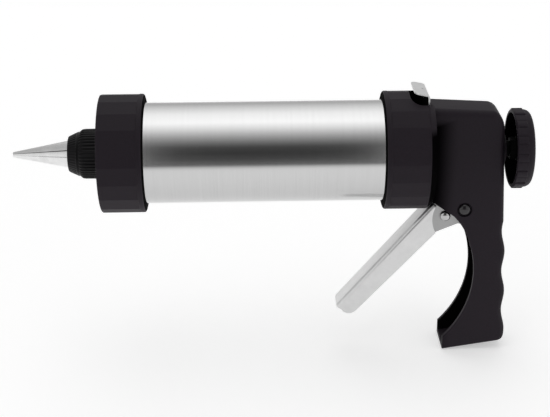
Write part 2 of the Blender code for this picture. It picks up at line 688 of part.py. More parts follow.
def cross_prism(name, centre, radius, low_y, high_y):
    """A round prism along Y, for holes and bosses."""
    outline = arc(centre, radius, 0, 360, SMALL_STEPS)[:-1]
    return make_cutter(name, *extruded(outline, low_y, high_y))


def box_cutter(name, low, high):
    """A plain box between two corners."""
    outline = [(low[0], low[2]), (high[0], low[2]), (high[0], high[2]), (low[0], high[2])]
    return make_cutter(name, *extruded(outline, low[1], high[1]))


def notch_cutter():
    """The thumb notch: a flat cut across the collar's top, round at its front corners."""
    length = SLOT_REAR_X + CUT_OVERRUN / 3 - NOTCH_FRONT_X
    outline = [(NOTCH_FRONT_X + length, NOTCH_HALF_WIDTH)]
    centre_x = NOTCH_FRONT_X + NOTCH_CORNER
    for side, start in ((1, 90), (-1, 180)):
        centre = (centre_x, side * (NOTCH_HALF_WIDTH - NOTCH_CORNER))
        outline.extend(arc(centre, NOTCH_CORNER, start, start + 90, EDGE_STEPS))
    outline.append((NOTCH_FRONT_X + length, -NOTCH_HALF_WIDTH))
    return make_cutter("notch_cutter",
                       *extruded(outline, NOTCH_FLOOR, RING_RADIUS + CUT_OVERRUN, axis="Z"))


def add_handle_insides(housing):
    """Bosses and the brake plate's rib, joined to the hollowed walls."""
    boss_low = EAR_OUTER + FIT_GAP
    for name, side in (("boss_near", -1), ("boss_far", 1)):
        ends = sorted((side * boss_low, side * (CAVITY_HALF_WIDTH + BODY_WALL / 2)))
        boss = cross_prism(name, (PIVOT_X, -PIVOT_DROP), PIVOT_BOSS_RADIUS, *ends)
        join(housing, boss)
    side_y = CAVITY_HALF_WIDTH + BODY_WALL / 2
    rib = box_cutter("fulcrum_rib", (FULCRUM_RIB_X, -side_y, -COLLAR_FLOOR_DROP - FULCRUM_RIB_LENGTH),
                     (FULCRUM_RIB_X + FULCRUM_RIB_LENGTH, side_y, -FULCRUM_RIB_TOP_DROP))
    join(housing, rib)


def build_housing():
    """Collar, body and hollow grip, moulded in one piece."""
    outline, rounds = body_outline()
    housing = make_object("handle_housing",
                          *rounded_slab(outline, rounds, BODY_HALF_WIDTH, True), BLACK)
    join(housing, collar_shape())
    hollow, hollow_rounds = cavity_outline()
    cut(housing, make_cutter("cavity_cutter",
                             *rounded_slab(hollow, hollow_rounds, CAVITY_HALF_WIDTH, True)))
    add_handle_insides(housing)
    cut(housing, notch_cutter())
    cut(housing, box_cutter("tab_slot_cutter",
                            (SLOT_FRONT_X, -CAVITY_HALF_WIDTH, BODY_TOP_CORNER),
                            (SLOT_REAR_X, CAVITY_HALF_WIDTH, RING_RADIUS + CUT_OVERRUN)))
    groove_y = CAVITY_HALF_WIDTH + GROOVE_DEPTH
    groove_z = GUIDE_PLATE_HALF_HEIGHT + FIT_GAP
    cut(housing, box_cutter("plate_groove_cutter",
                            (GUIDE_PLATE_X - FIT_GAP, -groove_y, -groove_z),
                            (GUIDE_PLATE_X + PLATE_THICKNESS + FIT_GAP, groove_y, groove_z)))
    cut(housing, rod_hole_cutter("bulkhead_hole_cutter", BARREL_SEAT_DEPTH - CUT_OVERRUN,
                                 BULKHEAD_REAR_X + CUT_OVERRUN, FRONT_BUSH_RADIUS + FIT_GAP))
    cut(housing, rod_hole_cutter("rear_hole_cutter", BODY_REAR_X - BODY_WALL - CUT_OVERRUN,
                                 BODY_REAR_X + CUT_OVERRUN, REAR_BUSH_RADIUS + FIT_GAP))
    pivot = (PIVOT_X, -PIVOT_DROP)
    past = BODY_HALF_WIDTH + CUT_OVERRUN
    cut(housing, cross_prism("pivot_hole_cutter", pivot, PIVOT_RADIUS + FIT_GAP, -past, past))
    recess = BODY_HALF_WIDTH - PIVOT_RECESS_DEPTH
    cut(housing, cross_prism("near_recess_cutter", pivot, PIVOT_RECESS_RADIUS, -past, -recess))
    cut(housing, cross_prism("far_recess_cutter", pivot, PIVOT_RECESS_RADIUS, recess, past))
    return housing


def build_front_ring():
    """The screw ring over the barrel's front end."""
    angles = round_angles(RING_STEPS, FRONT_RING_TURN_DEG)
    lifts = facet_lifts(angles, RING_FACETS, FRONT_RING_TURN_DEG)
    facet = RING_RADIUS - FACET_STEP
    rear = FRONT_RING_X + FRONT_RING_LENGTH
    face_step = FRONT_RING_WALL / 4
    stations = [(FRONT_RING_X, NUT_RADIUS + face_step),
                (FRONT_RING_X + face_step, NUT_RADIUS + 2 * face_step),
                (FRONT_RING_X + face_step, RING_BORE - face_step),
                (FRONT_RING_X, RING_BORE),
                (FRONT_RING_X, RING_RADIUS - RING_EDGE),
                (FRONT_RING_X + RING_EDGE, facet, facet),
                (rear - RING_LIP_WIDTH - FACET_STEP, facet, facet),
                (rear - RING_LIP_WIDTH, RING_RADIUS),
                (rear - RING_EDGE / 2, RING_RADIUS),
                (rear + RING_EDGE / 4, RING_RADIUS - RING_EDGE / 2),
                (rear + RING_LIP_REACH, RING_BORE),
                (FRONT_RING_X + FRONT_RING_WALL, RING_BORE),
                (FRONT_RING_X + FRONT_RING_WALL, FRONT_RING_HOLE_RADIUS),
                (FRONT_RING_X, FRONT_RING_HOLE_RADIUS)]
    return make_object("front_ring", *turned(stations, angles, lifts), BLACK, sharp_deg=12)


def build_barrel():
    """The stainless tube, with a rolled thread crest round each hidden end."""
    stations = [(BARREL_FRONT_X, BARREL_RADIUS)]
    for middle in (BARREL_FRONT_X + BARREL_CREST_INSET, BARREL_REAR_X - BARREL_CREST_INSET):
        stations += [(middle - BARREL_CREST_HALF_WIDTH, BARREL_RADIUS),
                     (middle, BARREL_RADIUS + BARREL_CREST),
                     (middle + BARREL_CREST_HALF_WIDTH, BARREL_RADIUS)]
    stations += [(BARREL_REAR_X, BARREL_RADIUS), (BARREL_REAR_X, BARREL_BORE),
                 (BARREL_FRONT_X, BARREL_BORE)]
    return make_object("barrel_tube", *turned(stations, round_angles(RING_STEPS)), STEEL)


def build_gasket():
    """The soft ring between the barrel's rim and the adaptor."""
    outer = BARREL_RADIUS
    stations = [(GASKET_X, outer), (GASKET_X + GASKET_THICKNESS, outer),
                (GASKET_X + GASKET_THICKNESS, outer - GASKET_WIDTH), (GASKET_X, outer - GASKET_WIDTH)]
    return make_object("barrel_gasket", *turned(stations, round_angles(INNER_STEPS)), RUBBER)


def build_adaptor():
    """Flange with a funnel and the threaded spout that carries the tip."""
    edge = FLANGE_THICKNESS / 6
    crest = (SPOUT_RADIUS - SPOUT_BORE_RADIUS) / 8
    stations = [(FLANGE_REAR_X, BARREL_RADIUS - edge),
                (FLANGE_REAR_X - edge, BARREL_RADIUS),
                (FLANGE_FRONT_X, BARREL_RADIUS),
                (FLANGE_FRONT_X, SPOUT_RADIUS)]
    pitch = SPOUT_LENGTH / (SPOUT_THREADS + 2)
    for i in range(SPOUT_THREADS):
        place = FLANGE_FRONT_X - pitch * (i + 1.5)
        stations.append((place + pitch / 3, SPOUT_RADIUS - crest))
        stations.append((place, SPOUT_RADIUS))
    stations += [(SPOUT_END_X + edge, SPOUT_RADIUS - crest),
                 (SPOUT_END_X, SPOUT_RADIUS - crest - edge),
                 (SPOUT_END_X, SPOUT_BORE_RADIUS),
                 (FLANGE_FRONT_X, SPOUT_BORE_RADIUS),
                 (FLANGE_REAR_X, FUNNEL_RADIUS)]
    return make_object("nozzle_adaptor", *turned(stations, round_angles(INNER_STEPS)), BLACK)


def tip_radius(x):
    """Outer radius of the nozzle tip at a place along the axis."""
    share = (TIP_BASE_X - x) / TIP_LENGTH
    return TIP_BASE_RADIUS + (TIP_END_RADIUS - TIP_BASE_RADIUS) * share


def build_tip():
    """The plain round icing tip."""
    stations = [(TIP_BASE_X, TIP_BASE_RADIUS),
                (TIP_END_X + TIP_WALL / 2, TIP_END_RADIUS),
                (TIP_END_X, TIP_END_RADIUS - TIP_WALL / 3),
                (TIP_END_X, TIP_END_RADIUS - TIP_WALL),
                (TIP_BASE_X, TIP_BASE_RADIUS - TIP_WALL)]
    return make_object("nozzle_tip", *turned(stations, round_angles(INNER_STEPS)), BRIGHT)


def build_coupling_nut():
    """The fluted nut that draws the tip against the spout."""
    count = 2 * NUT_FLUTES
    angles = round_angles(count)
    lifts = [0 if i % 2 else -1 for i in range(count)]
    depth = NUT_FLUTE_DEPTH
    body_x = NUT_FRONT_X + NUT_CONE_LENGTH + NUT_BAND_LENGTH
    round_x = body_x + (NUT_REAR_X - body_x) / 3
    thread_end_x = SPOUT_END_X - FIT_GAP
    grip = FIT_GAP
    stations = [(NUT_FRONT_X, NUT_FRONT_RADIUS, depth / 2),
                (NUT_FRONT_X + NUT_CONE_LENGTH, NUT_CONE_RADIUS, depth / 2),
                (body_x, NUT_CONE_RADIUS + grip),
                (body_x + grip, NUT_RADIUS - 2 * grip, depth),
                (round_x, NUT_RADIUS, depth),
                (NUT_REAR_X, NUT_RADIUS, depth),
                (NUT_REAR_X, SPOUT_RADIUS + FIT_GAP),
                (thread_end_x, SPOUT_RADIUS + FIT_GAP),
                (thread_end_x, tip_radius(thread_end_x) + FIT_GAP),
                (NUT_FRONT_X, tip_radius(NUT_FRONT_X) + FIT_GAP)]
    return make_object("coupling_nut", *turned(stations, angles, lifts), BLACK, sharp_deg=25)


def build_rod():
    """Round rod with a shouldered stub at each end."""
    front = PISTON_FRONT_X - PISTON_NUT_LENGTH / 2
    rear = KNOB_REAR_X - KNOB_WALL - 2 * FIT_GAP
    edge = FIT_GAP
    stations = [(front, 0), (front, ROD_STUB_RADIUS - edge), (front + edge, ROD_STUB_RADIUS),
                (ROD_SHOULDER_X, ROD_STUB_RADIUS), (ROD_SHOULDER_X, ROD_RADIUS),
                (ROD_REAR_SHOULDER_X, ROD_RADIUS), (ROD_REAR_SHOULDER_X, ROD_STUB_RADIUS),
                (rear - edge, ROD_STUB_RADIUS), (rear, ROD_STUB_RADIUS - edge), (rear, 0)]
    return make_object("piston_rod", *turned(stations, round_angles(SMALL_STEPS), closed=False), BRIGHT)


def build_piston():
    """Disc, seal, washer and domed nut on the front of the rod."""
    outer = BARREL_BORE - PISTON_EDGE_GAP
    groove = outer - SEAL_DEPTH
    middle = PISTON_BACK_X - PISTON_THICKNESS / 2
    half = SEAL_WIDTH / 2 + FIT_GAP
    angles = round_angles(INNER_STEPS)
    edge = FIT_GAP
    stations = [(PISTON_BACK_X, STUB_HOLE),
                (PISTON_BACK_X, PISTON_HUB_RADIUS),
                (PISTON_BACK_X - PISTON_DISH, PISTON_HUB_RADIUS + PISTON_DISH),
                (PISTON_BACK_X - PISTON_DISH, groove - PISTON_DISH),
                (PISTON_BACK_X, groove),
                (PISTON_BACK_X, outer),
                (middle + half, outer), (middle + half, groove), (middle - half, groove),
                (middle - half, outer), (PISTON_FRONT_X + edge, outer),
                (PISTON_FRONT_X, outer - edge), (PISTON_FRONT_X, STUB_HOLE)]
    make_object("piston_disc", *turned(stations, angles), BLACK)
    low, high = groove + FIT_GAP, BARREL_BORE - FIT_GAP
    crown = SEAL_WIDTH / 4
    seal = [(middle - SEAL_WIDTH / 2, low), (middle + SEAL_WIDTH / 2, low),
            (middle + SEAL_WIDTH / 2, high - crown), (middle + crown, high), (middle - crown, high),
            (middle - SEAL_WIDTH / 2, high - crown)]
    make_object("piston_seal", *turned(seal, angles), RUBBER)
    washer_x = PISTON_BACK_X + FIT_GAP
    washer = [(washer_x, STUB_HOLE), (washer_x, WASHER_RADIUS),
              (washer_x + WASHER_THICKNESS, WASHER_RADIUS), (washer_x + WASHER_THICKNESS, STUB_HOLE)]
    make_object("piston_washer", *turned(washer, round_angles(SMALL_STEPS)), BRIGHT)
    angles = round_angles(SMALL_STEPS)
    hexagon = facet_lifts(angles, 6, 0)
    corner = NUT_ACROSS_FLATS / 2 / math.cos(math.pi / 6)
    rear = PISTON_FRONT_X - FIT_GAP
    front = rear - PISTON_NUT_LENGTH
    flat_end = rear - PISTON_NUT_LENGTH / 2
    dome = NUT_ACROSS_FLATS / 2 - edge
    depth = rear - PISTON_NUT_LENGTH / 2 - FIT_GAP * 2
    nut = [(depth, 0), (depth, STUB_HOLE), (rear, STUB_HOLE), (rear, NUT_ACROSS_FLATS / 2 - edge),
           (rear - edge, corner, corner), (flat_end, corner, corner), (flat_end - edge, dome),
           ((flat_end + front) / 2 - edge, dome * math.cos(math.pi / 6)), (front, dome / 3), (front, 0)]
    make_object("piston_nut", *turned(nut, angles, hexagon, closed=False), BRIGHT)


def build_knob():
    """Hollow knob with ribs on its rim, and the lock nut in front of its hub."""
    angles, lifts = [], []
    pitch = 2 * math.pi / KNOB_RIBS
    flank = pitch / 30
    half = pitch * KNOB_RIB_SHARE / 2
    first = math.radians(4.5)
    for i in range(KNOB_RIBS):
        centre = first + i * pitch
        for offset, lift in ((-half - flank, 0), (-half, 1), (half, 1), (half + flank, 0),
                             (pitch / 2, 0)):
            angles.append(centre + offset)
            lifts.append(lift)
    rear = KNOB_REAR_X
    grip_end = KNOB_FRONT_X + KNOB_GRIP_LENGTH
    inner = KNOB_RADIUS - KNOB_WALL
    floor = rear - KNOB_WALL
    edge = KNOB_RIB_HEIGHT
    rib = KNOB_RIB_HEIGHT
    stations = [(floor, 0), (floor, STUB_HOLE), (KNOB_HUB_X, STUB_HOLE), (KNOB_HUB_X, KNOB_HUB_RADIUS),
                (floor, KNOB_HUB_RADIUS), (floor, inner - edge), (KNOB_FRONT_X, inner),
                (KNOB_FRONT_X, KNOB_RADIUS - edge),
                (KNOB_FRONT_X + edge / 2, KNOB_RADIUS, rib),
                (grip_end, KNOB_RADIUS, rib),
                (grip_end + edge / 4, KNOB_RADIUS - edge / 2),
                (rear - 3 * edge, KNOB_RADIUS - edge * 3 / 2),
                (rear - edge, KNOB_RADIUS - 3 * edge),
                (rear, KNOB_RADIUS - 6 * edge),
                (rear - KNOB_DISH, KNOB_RADIUS - 9 * edge),
                (rear - KNOB_DISH, 0)]
    make_object("knob", *turned(stations, angles, lifts, closed=False), BLACK, sharp_deg=25)
    corner = NUT_ACROSS_FLATS / 2 / math.cos(math.pi / 6)
    hexagon = facet_lifts(round_angles(SMALL_STEPS), 6, 0)
    edge = FIT_GAP
    front, back = KNOB_NUT_FRONT_X, KNOB_NUT_REAR_X
    nut = [(front, STUB_HOLE), (front, NUT_ACROSS_FLATS / 2 - edge), (front + edge, corner, corner),
           (back - edge, corner, corner), (back, NUT_ACROSS_FLATS / 2 - edge), (back, STUB_HOLE)]
    make_object("knob_nut", *turned(nut, round_angles(SMALL_STEPS), hexagon), BRIGHT)


def dome(start, sign, radius, height):
    """Stations of a domed head that grows away from its seat."""
    points = [(start, radius)]
    for i in range(EDGE_STEPS + 1):
        angle = math.pi / 2 * i / EDGE_STEPS
        points.append((start + sign * height * (1 / 4 + 3 / 4 * math.sin(angle)),
                       radius * math.cos(angle)))
    points[-1] = (points[-1][0], 0)
    return points


def build_pivot():
    """The black pin with its domed head, and the clip on its far end."""
    seat = BODY_HALF_WIDTH - PIVOT_RECESS_DEPTH + FIT_GAP
    head = dome(-seat, -1, PIVOT_HEAD_RADIUS, PIVOT_HEAD_HEIGHT)
    tail = seat + CLIP_THICKNESS + FIT_GAP
    stations = head[::-1] + [(-seat, PIVOT_RADIUS), (tail, PIVOT_RADIUS),
                             (tail + FIT_GAP, PIVOT_RADIUS - FIT_GAP), (tail + FIT_GAP, 0)]
    place = (PIVOT_X, 0, -PIVOT_DROP)
    shape = turned(stations, round_angles(PIN_STEPS), closed=False, axis="Y")
    make_object("trigger_pivot_pin", *moved(shape, place), BLACK, place)
    hole = PIVOT_RADIUS + FIT_GAP
    clip = [(seat, hole), (seat, CLIP_RADIUS), (seat + CLIP_THICKNESS, CLIP_RADIUS),
            (seat + CLIP_THICKNESS, hole)]
    shape = turned(clip, round_angles(PIN_STEPS), axis="Y")
    make_object("pivot_clip", *moved(shape, place), BRIGHT, place)


def lever_slab_outline():
    """Side outline of the trigger's channel, along the web and behind it."""
    end = LEVER_LENGTH - LEVER_END_ROUND
    corner = LEVER_END_DEPTH / 2
    points = [(LEVER_TOP, 0), (LEVER_LENGTH - LEVER_END_ROUND / 2, 0), (LEVER_LENGTH, LEVER_END_ROUND / 2)]
    rounds = [LEVER_BEND, LEVER_BEND, LEVER_END_ROUND]
    tail = arc((end - corner, LEVER_END_DEPTH - corner), corner, 0, 90, EDGE_STEPS)
    points += tail
    rounds += [LEVER_SHEET / 4] * len(tail)
    points += [(LEVER_EAR_FROM, LEVER_EAR_DEPTH), (LEVER_TOP, LEVER_EAR_DEPTH)]
    rounds += [LEVER_SHEET / 4] * 2
    return on_lever(points), rounds


def ear_outline():
    """Side outline of one set-in ear, with the arm that rises behind the drive plate."""
    inside = LEVER_SHEET / 3
    lap = JOGGLE_RADIUS + JOGGLE_LAP
    high_angle = math.degrees(math.asin((2 * inside - JOGGLE_DEPTH) / lap))
    low_angle = math.degrees(math.asin((LEVER_EAR_DEPTH - LEVER_SHEET - JOGGLE_DEPTH) / lap))
    lapped = arc((JOGGLE_ALONG, JOGGLE_DEPTH), lap, high_angle, low_angle, EDGE_STEPS * 2)
    points = on_lever(lapped)
    points += arc((PIVOT_X, -PIVOT_DROP), EAR_RADIUS, EAR_FROM_DEG, EAR_TO_DEG, ARC_STEPS)
    nose = (PIVOT_X + ARM_BACK, ARM_LENGTH - PIVOT_DROP)
    points += arc(nose, ARM_NOSE_RADIUS, 0, 180, ARC_STEPS // 2)
    neck_x = nose[0] - ARM_NOSE_RADIUS
    neck_z = -DRIVE_PLATE_DROP - ARM_NECK_GAP
    points += [(neck_x, neck_z), (neck_x - ARM_SHOULDER, neck_z - ARM_SHOULDER * 2 / 3)]
    points += on_lever([(LEVER_TOP / 4, LEVER_SHEET * 5 / 4), (LEVER_TOP + 2 * LEVER_SHEET, inside)])
    return points


def build_trigger():
    """The folded trigger: a channel with two set-in ears whose noses push the drive plate."""
    outline, rounds = lever_slab_outline()
    origin = (PIVOT_X, 0, -PIVOT_DROP)
    lever = make_object("trigger_lever", *rounded_slab(outline, rounds, LEVER_HALF_WIDTH), BRIGHT, origin)
    inside = LEVER_HALF_WIDTH - LEVER_SHEET
    past = CUT_OVERRUN
    hollow = on_lever([(LEVER_TOP - past, LEVER_SHEET), (LEVER_LENGTH + past, LEVER_SHEET),
                       (LEVER_LENGTH + past, LEVER_EAR_DEPTH + past),
                       (LEVER_TOP - past, LEVER_EAR_DEPTH + past)])
    corner = LEVER_BEND - LEVER_SHEET
    cut(lever, make_cutter("channel_cutter", *rounded_slab(hollow, [corner] * 4, inside)))
    centre = place_on_lever(JOGGLE_ALONG, JOGGLE_DEPTH)
    reach = LEVER_HALF_WIDTH + past
    cut(lever, cross_prism("joggle_cutter", centre, JOGGLE_RADIUS, -reach, reach))
    for name, low, high in (("ear_near", -EAR_OUTER, -EAR_INNER), ("ear_far", EAR_INNER, EAR_OUTER)):
        join(lever, make_cutter(name, *extruded(ear_outline(), low, high)))
    cut(lever, cross_prism("ear_pivot_cutter", (PIVOT_X, -PIVOT_DROP), PIVOT_RADIUS + FIT_GAP,
                                 -reach, reach))
    rivet = place_on_lever(RIVET_ALONG, RIVET_DEPTH)
    cut(lever, cross_prism("ear_rivet_cutter", rivet, RIVET_RADIUS + FIT_GAP, -reach, reach))
    return lever


def build_rivet():
    """The domed rivet that holds the ears apart."""
    seat = EAR_OUTER + FIT_GAP
    shoulder = EAR_INNER - FIT_GAP
    near = dome(-seat, -1, RIVET_HEAD_RADIUS, RIVET_HEAD_HEIGHT)
    far = dome(seat, 1, RIVET_HEAD_RADIUS, RIVET_HEAD_HEIGHT)
    thick = RIVET_RADIUS + LEVER_SHEET / 2
    stations = near[::-1] + [(-seat, RIVET_RADIUS), (-shoulder, RIVET_RADIUS), (-shoulder, thick),
                             (shoulder, thick), (shoulder, RIVET_RADIUS), (seat, RIVET_RADIUS)] + far
    rivet = place_on_lever(RIVET_ALONG, RIVET_DEPTH)
    place = (rivet[0], 0, rivet[1])
    shape = turned(stations, round_angles(PIN_STEPS), closed=False, axis="Y")
    return make_object("spacer_rivet", *moved(shape, place), BRIGHT, place)


def build_plates():
    """Drive plate and guide plate, upright on the rod."""
    half_height = (DRIVE_PLATE_TOP + DRIVE_PLATE_DROP) / 2
    middle = (DRIVE_PLATE_TOP - DRIVE_PLATE_DROP) / 2
    outline = [(y, z + middle) for y, z in
               rounded_box(DRIVE_PLATE_HALF_WIDTH, half_height, DRIVE_PLATE_HALF_WIDTH / 3)]
    drive = make_object("drive_plate", *extruded(outline, DRIVE_PLATE_FRONT_X, DRIVE_PLATE_REAR_X, "X"),
                        STEEL)
    cut(drive, rod_hole_cutter("drive_hole_cutter", DRIVE_PLATE_FRONT_X - CUT_OVERRUN,
                               DRIVE_PLATE_REAR_X + CUT_OVERRUN, ROD_HOLE))
    half_width = CAVITY_HALF_WIDTH + GROOVE_DEPTH - FIT_GAP
    outline = rounded_box(half_width, GUIDE_PLATE_HALF_HEIGHT, GROOVE_DEPTH)
    rear = GUIDE_PLATE_X + PLATE_THICKNESS
    guide = make_object("guide_plate", *extruded(outline, GUIDE_PLATE_X, rear, "X"), STEEL)
    cut(guide, rod_hole_cutter("guide_hole_cutter", GUIDE_PLATE_X - CUT_OVERRUN, rear + CUT_OVERRUN,
                               ROD_HOLE))


def brake_path():
    """Middle line of the brake plate from its foot to the tip of its thumb tab, with half widths."""
    cant = math.tan(math.radians(BRAKE_CANT_DEG))

    def on_cant(height):
        return (BRAKE_FOOT_X + (height + BRAKE_FOOT_DROP) * cant, height)

    corner = on_cant(TAB_BEND_HEIGHT)
    tip = Vector((TAB_TIP_X, TAB_TIP_HEIGHT))
    out = (tip - Vector(corner)).normalized()
    tab_start = Vector(corner) + out * TAB_BEND_RADIUS
    path = [on_cant(-BRAKE_FOOT_DROP - BRAKE_FOOT_REACH)]
    path += bend(on_cant(TAB_BEND_HEIGHT - TAB_BEND_RADIUS), corner, tab_start, EDGE_STEPS)
    widths = [BRAKE_HALF_WIDTH] * len(path)
    for i in range(EDGE_STEPS + 1):
        angle = math.pi / 2 * i / EDGE_STEPS
        back = TAB_CORNER * (1 - math.sin(angle))
        path.append(tuple(tip - out * back))
        widths.append(BRAKE_HALF_WIDTH - TAB_CORNER * (1 - math.cos(angle)))
    return path, widths


def build_brake_plate():
    """The canted brake plate; its top is bent forward into the thumb tab."""
    path, widths = brake_path()
    loops = []
    half = PLATE_THICKNESS / 2
    for i, (point, width) in enumerate(zip(path, widths)):
        before = Vector(path[max(i - 1, 0)])
        after = Vector(path[min(i + 1, len(path) - 1)])
        way = (after - before).normalized()
        side = Vector((way.y, -way.x))
        low, high = Vector(point) - half * side, Vector(point) + half * side
        loops.append([(low.x, -width, low.y), (high.x, -width, high.y),
                      (high.x, width, high.y), (low.x, width, low.y)])
    vertices, faces = stitch(loops, False)
    faces.append((0, 1, 2, 3))
    last = len(vertices)
    faces.append((last - 1, last - 2, last - 3, last - 4))
    origin = (BRAKE_FOOT_X, 0, -BRAKE_FOOT_DROP)
    plate = make_object("brake_plate", vertices, faces, STEEL, origin)
    cut(plate, rod_hole_cutter("brake_hole_cutter", BRAKE_FOOT_X - CUT_OVERRUN,
                               BRAKE_FOOT_X + CUT_OVERRUN, ROD_HOLE))
    return plate


def build_springs():
    """The conical drive spring and the small brake spring, both round the rod."""
    half = DRIVE_WIRE / 2 + FIT_GAP
    points = helix(GUIDE_PLATE_X + PLATE_THICKNESS + half, DRIVE_PLATE_FRONT_X - half,
                   DRIVE_COIL_FRONT, DRIVE_COIL_BACK, DRIVE_TURNS)
    make_object("drive_spring", *wire_tube(points, DRIVE_WIRE / 2, WIRE_SIDES), BRIGHT)
    half = BRAKE_WIRE / 2 + FIT_GAP
    cant = math.tan(math.radians(BRAKE_CANT_DEG))
    plate_x = BRAKE_FOOT_X + (BRAKE_FOOT_DROP - BRAKE_COIL_BACK) * cant - PLATE_THICKNESS / 2
    points = helix(BULKHEAD_REAR_X + half, plate_x - half, BRAKE_COIL_FRONT, BRAKE_COIL_BACK, BRAKE_TURNS)
    make_object("brake_spring", *wire_tube(points, BRAKE_WIRE / 2, WIRE_SIDES), BRIGHT)


def build_bushes():
    """Rod bushes in the bulkhead and in the handle's rear wall."""
    flange_rear = BARREL_SEAT_DEPTH - FIT_GAP
    front = [(flange_rear - FRONT_BUSH_FLANGE, ROD_HOLE),
             (flange_rear - FRONT_BUSH_FLANGE, FRONT_BUSH_FLANGE_RADIUS),
             (flange_rear, FRONT_BUSH_FLANGE_RADIUS), (flange_rear, FRONT_BUSH_RADIUS),
             (BULKHEAD_REAR_X, FRONT_BUSH_RADIUS), (BULKHEAD_REAR_X, ROD_HOLE)]
    make_object("front_bush", *turned(front, round_angles(SMALL_STEPS)), BRASS)
    lean = REAR_LEAN_SHARE * REAR_BUSH_FLANGE_RADIUS
    flange_front = BODY_REAR_X + lean + FIT_GAP
    inner_end = BODY_REAR_X - BODY_WALL - WAVE_HEIGHT
    rear = [(inner_end, ROD_HOLE), (inner_end, REAR_BUSH_RADIUS), (flange_front, REAR_BUSH_RADIUS),
            (flange_front, REAR_BUSH_FLANGE_RADIUS),
            (flange_front + REAR_BUSH_FLANGE, REAR_BUSH_FLANGE_RADIUS),
            (flange_front + REAR_BUSH_FLANGE, ROD_HOLE)]
    make_object("rear_bush", *turned(rear, round_angles(SMALL_STEPS)), BLACK)


clear_scene()
BLACK = make_material("black_plastic", (0.03, 0.028, 0.031), 0.48, 0.0)
STEEL = make_material("brushed_steel", (0.62, 0.62, 0.62), 0.3, 1.0)
BRIGHT = make_material("bright_steel", (0.72, 0.72, 0.72), 0.2, 1.0)
RUBBER = make_material("rubber", (0.5, 0.5, 0.48), 0.7, 0.0)
BRASS = make_material("brass", (0.6, 0.45, 0.2), 0.35, 1.0)
FRAME = make_frame()

build_housing()
build_barrel()
build_gasket()
build_front_ring()
build_adaptor()
build_tip()
build_coupling_nut()
build_piston()
build_rod()
build_knob()
build_pivot()
build_trigger()
build_rivet()
build_plates()
build_brake_plate()
build_springs()
build_bushes()
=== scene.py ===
"""Looks for the cookie press: its visible pieces in fine detail, materials, light and camera.

Lengths are millimetres in the press's own axes: X = 0 at the front face of the handle's collar, the
rod's axis at Y = Z = 0, +X towards the knob. place() turns them into the frame's metres.
Round pieces are given as stations (x, radius) along the rod's axis. A third value in a station says
how much it takes of the facets, flutes or ribs that the piece has round it.
"""
import math

import bmesh
import bpy
from mathutils import Matrix, Vector


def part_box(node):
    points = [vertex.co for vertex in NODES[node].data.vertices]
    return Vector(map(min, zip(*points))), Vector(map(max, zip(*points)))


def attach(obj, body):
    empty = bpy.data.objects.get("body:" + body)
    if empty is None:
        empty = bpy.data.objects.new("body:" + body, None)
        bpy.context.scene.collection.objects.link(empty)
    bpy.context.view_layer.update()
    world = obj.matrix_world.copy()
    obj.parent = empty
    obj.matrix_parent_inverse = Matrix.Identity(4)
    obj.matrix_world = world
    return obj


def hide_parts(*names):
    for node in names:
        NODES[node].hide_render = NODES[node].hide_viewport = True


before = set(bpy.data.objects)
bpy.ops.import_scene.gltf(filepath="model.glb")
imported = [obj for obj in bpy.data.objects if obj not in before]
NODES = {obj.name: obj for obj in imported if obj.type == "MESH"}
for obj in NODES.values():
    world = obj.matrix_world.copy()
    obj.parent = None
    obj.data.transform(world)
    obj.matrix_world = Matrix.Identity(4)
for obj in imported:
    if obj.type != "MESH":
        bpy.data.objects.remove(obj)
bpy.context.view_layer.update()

MM = 0.001
COLLAR_LIP = 1.0
AXIS_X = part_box("handle_housing")[0].x + COLLAR_LIP * MM
AXIS_Z = 0.1068

# Barrel: its radii, its front end, the bead near each end, and how far it sits in the collar
BARREL_R, BARREL_BORE = 25.0, 24.4
BARREL_FRONT = -131.0
BEAD_INSET = 4.0
SEAT = 11.0

# The front ring and the handle's collar, with flat facets that start at these turns in degrees
RING_X, RING_LENGTH = -139.7, 21.4
RING_R, RING_BORE = 29.42, 25.6
FACETS = 20
FACET = 360 / FACETS
RING_TURN, COLLAR_TURN = 5.0, 4.0
COLLAR_END, CHAMFER = 21.6, 2.1
COLLAR_REAR = COLLAR_END + CHAMFER

# Nozzle: the cone with its rolled seam (degrees round it), and the fluted nut
TIP_BASE, TIP_END = -147.8, -183.7
TIP_BASE_R, TIP_END_R = 8.4, 1.35
SEAM_FROM, SEAM_WIDTH, SEAM_DEPTH = 31.5, 4.2, 0.13
NUT_FRONT, NUT_REAR = -155.9, -140.3
FLUTES = 44

# Rod and knob
ROD_FRONT, ROD_REAR = -125.8, 70.4
ROD_R, THREAD_R = 4.0, 3.0
KNOB_FRONT, KNOB_REAR, KNOB_R = 63.9, 72.9, 19.6
RIBS, RIB_TURN, RIB_SHARE, RIB_HEIGHT, GROOVE = 14, 4.5, 0.36, 0.4, 0.35

# Handle: half its width, walls, the falling top, the leaning rear wall and the grip
BODY_HALF, WALL = 10.5, 2.4
HOLLOW_HALF = BODY_HALF - WALL
BULKHEAD = 14.5
BODY_TOP, TOP_FALL, TOP_EDGE = 23.9, 0.055, 3.2
REAR_X, REAR_LEAN = 59.4, 0.045
CORNER_ALONG, CORNER_DOWN = 7.2, 10.4
FOOT_DROP, HEEL = 102.9, 4.5
TOE = (32.3, -106.8)
WAVE_TOP, WAVE_PITCH, WAVE_HEIGHT = 36.0, 22.0, 0.75
EDGE = 0.6

# Trigger: its pivot, the channel's sheet, and the slope of its web at rest
PIVOT = (40.7, -28.7)
PIN_BORE, PIN_SINK = 2.8, 1.2
LEVER_HALF, SHEET = 6.8, 1.2
WEB_OFFSET = 13.05
SLOPE = math.radians(49.3)
ALONG = Vector((-math.cos(SLOPE), -math.sin(SLOPE)))
ACROSS = Vector((math.sin(SLOPE), -math.cos(SLOPE)))

# A cut goes this far past what it cuts
PAST = 6.0


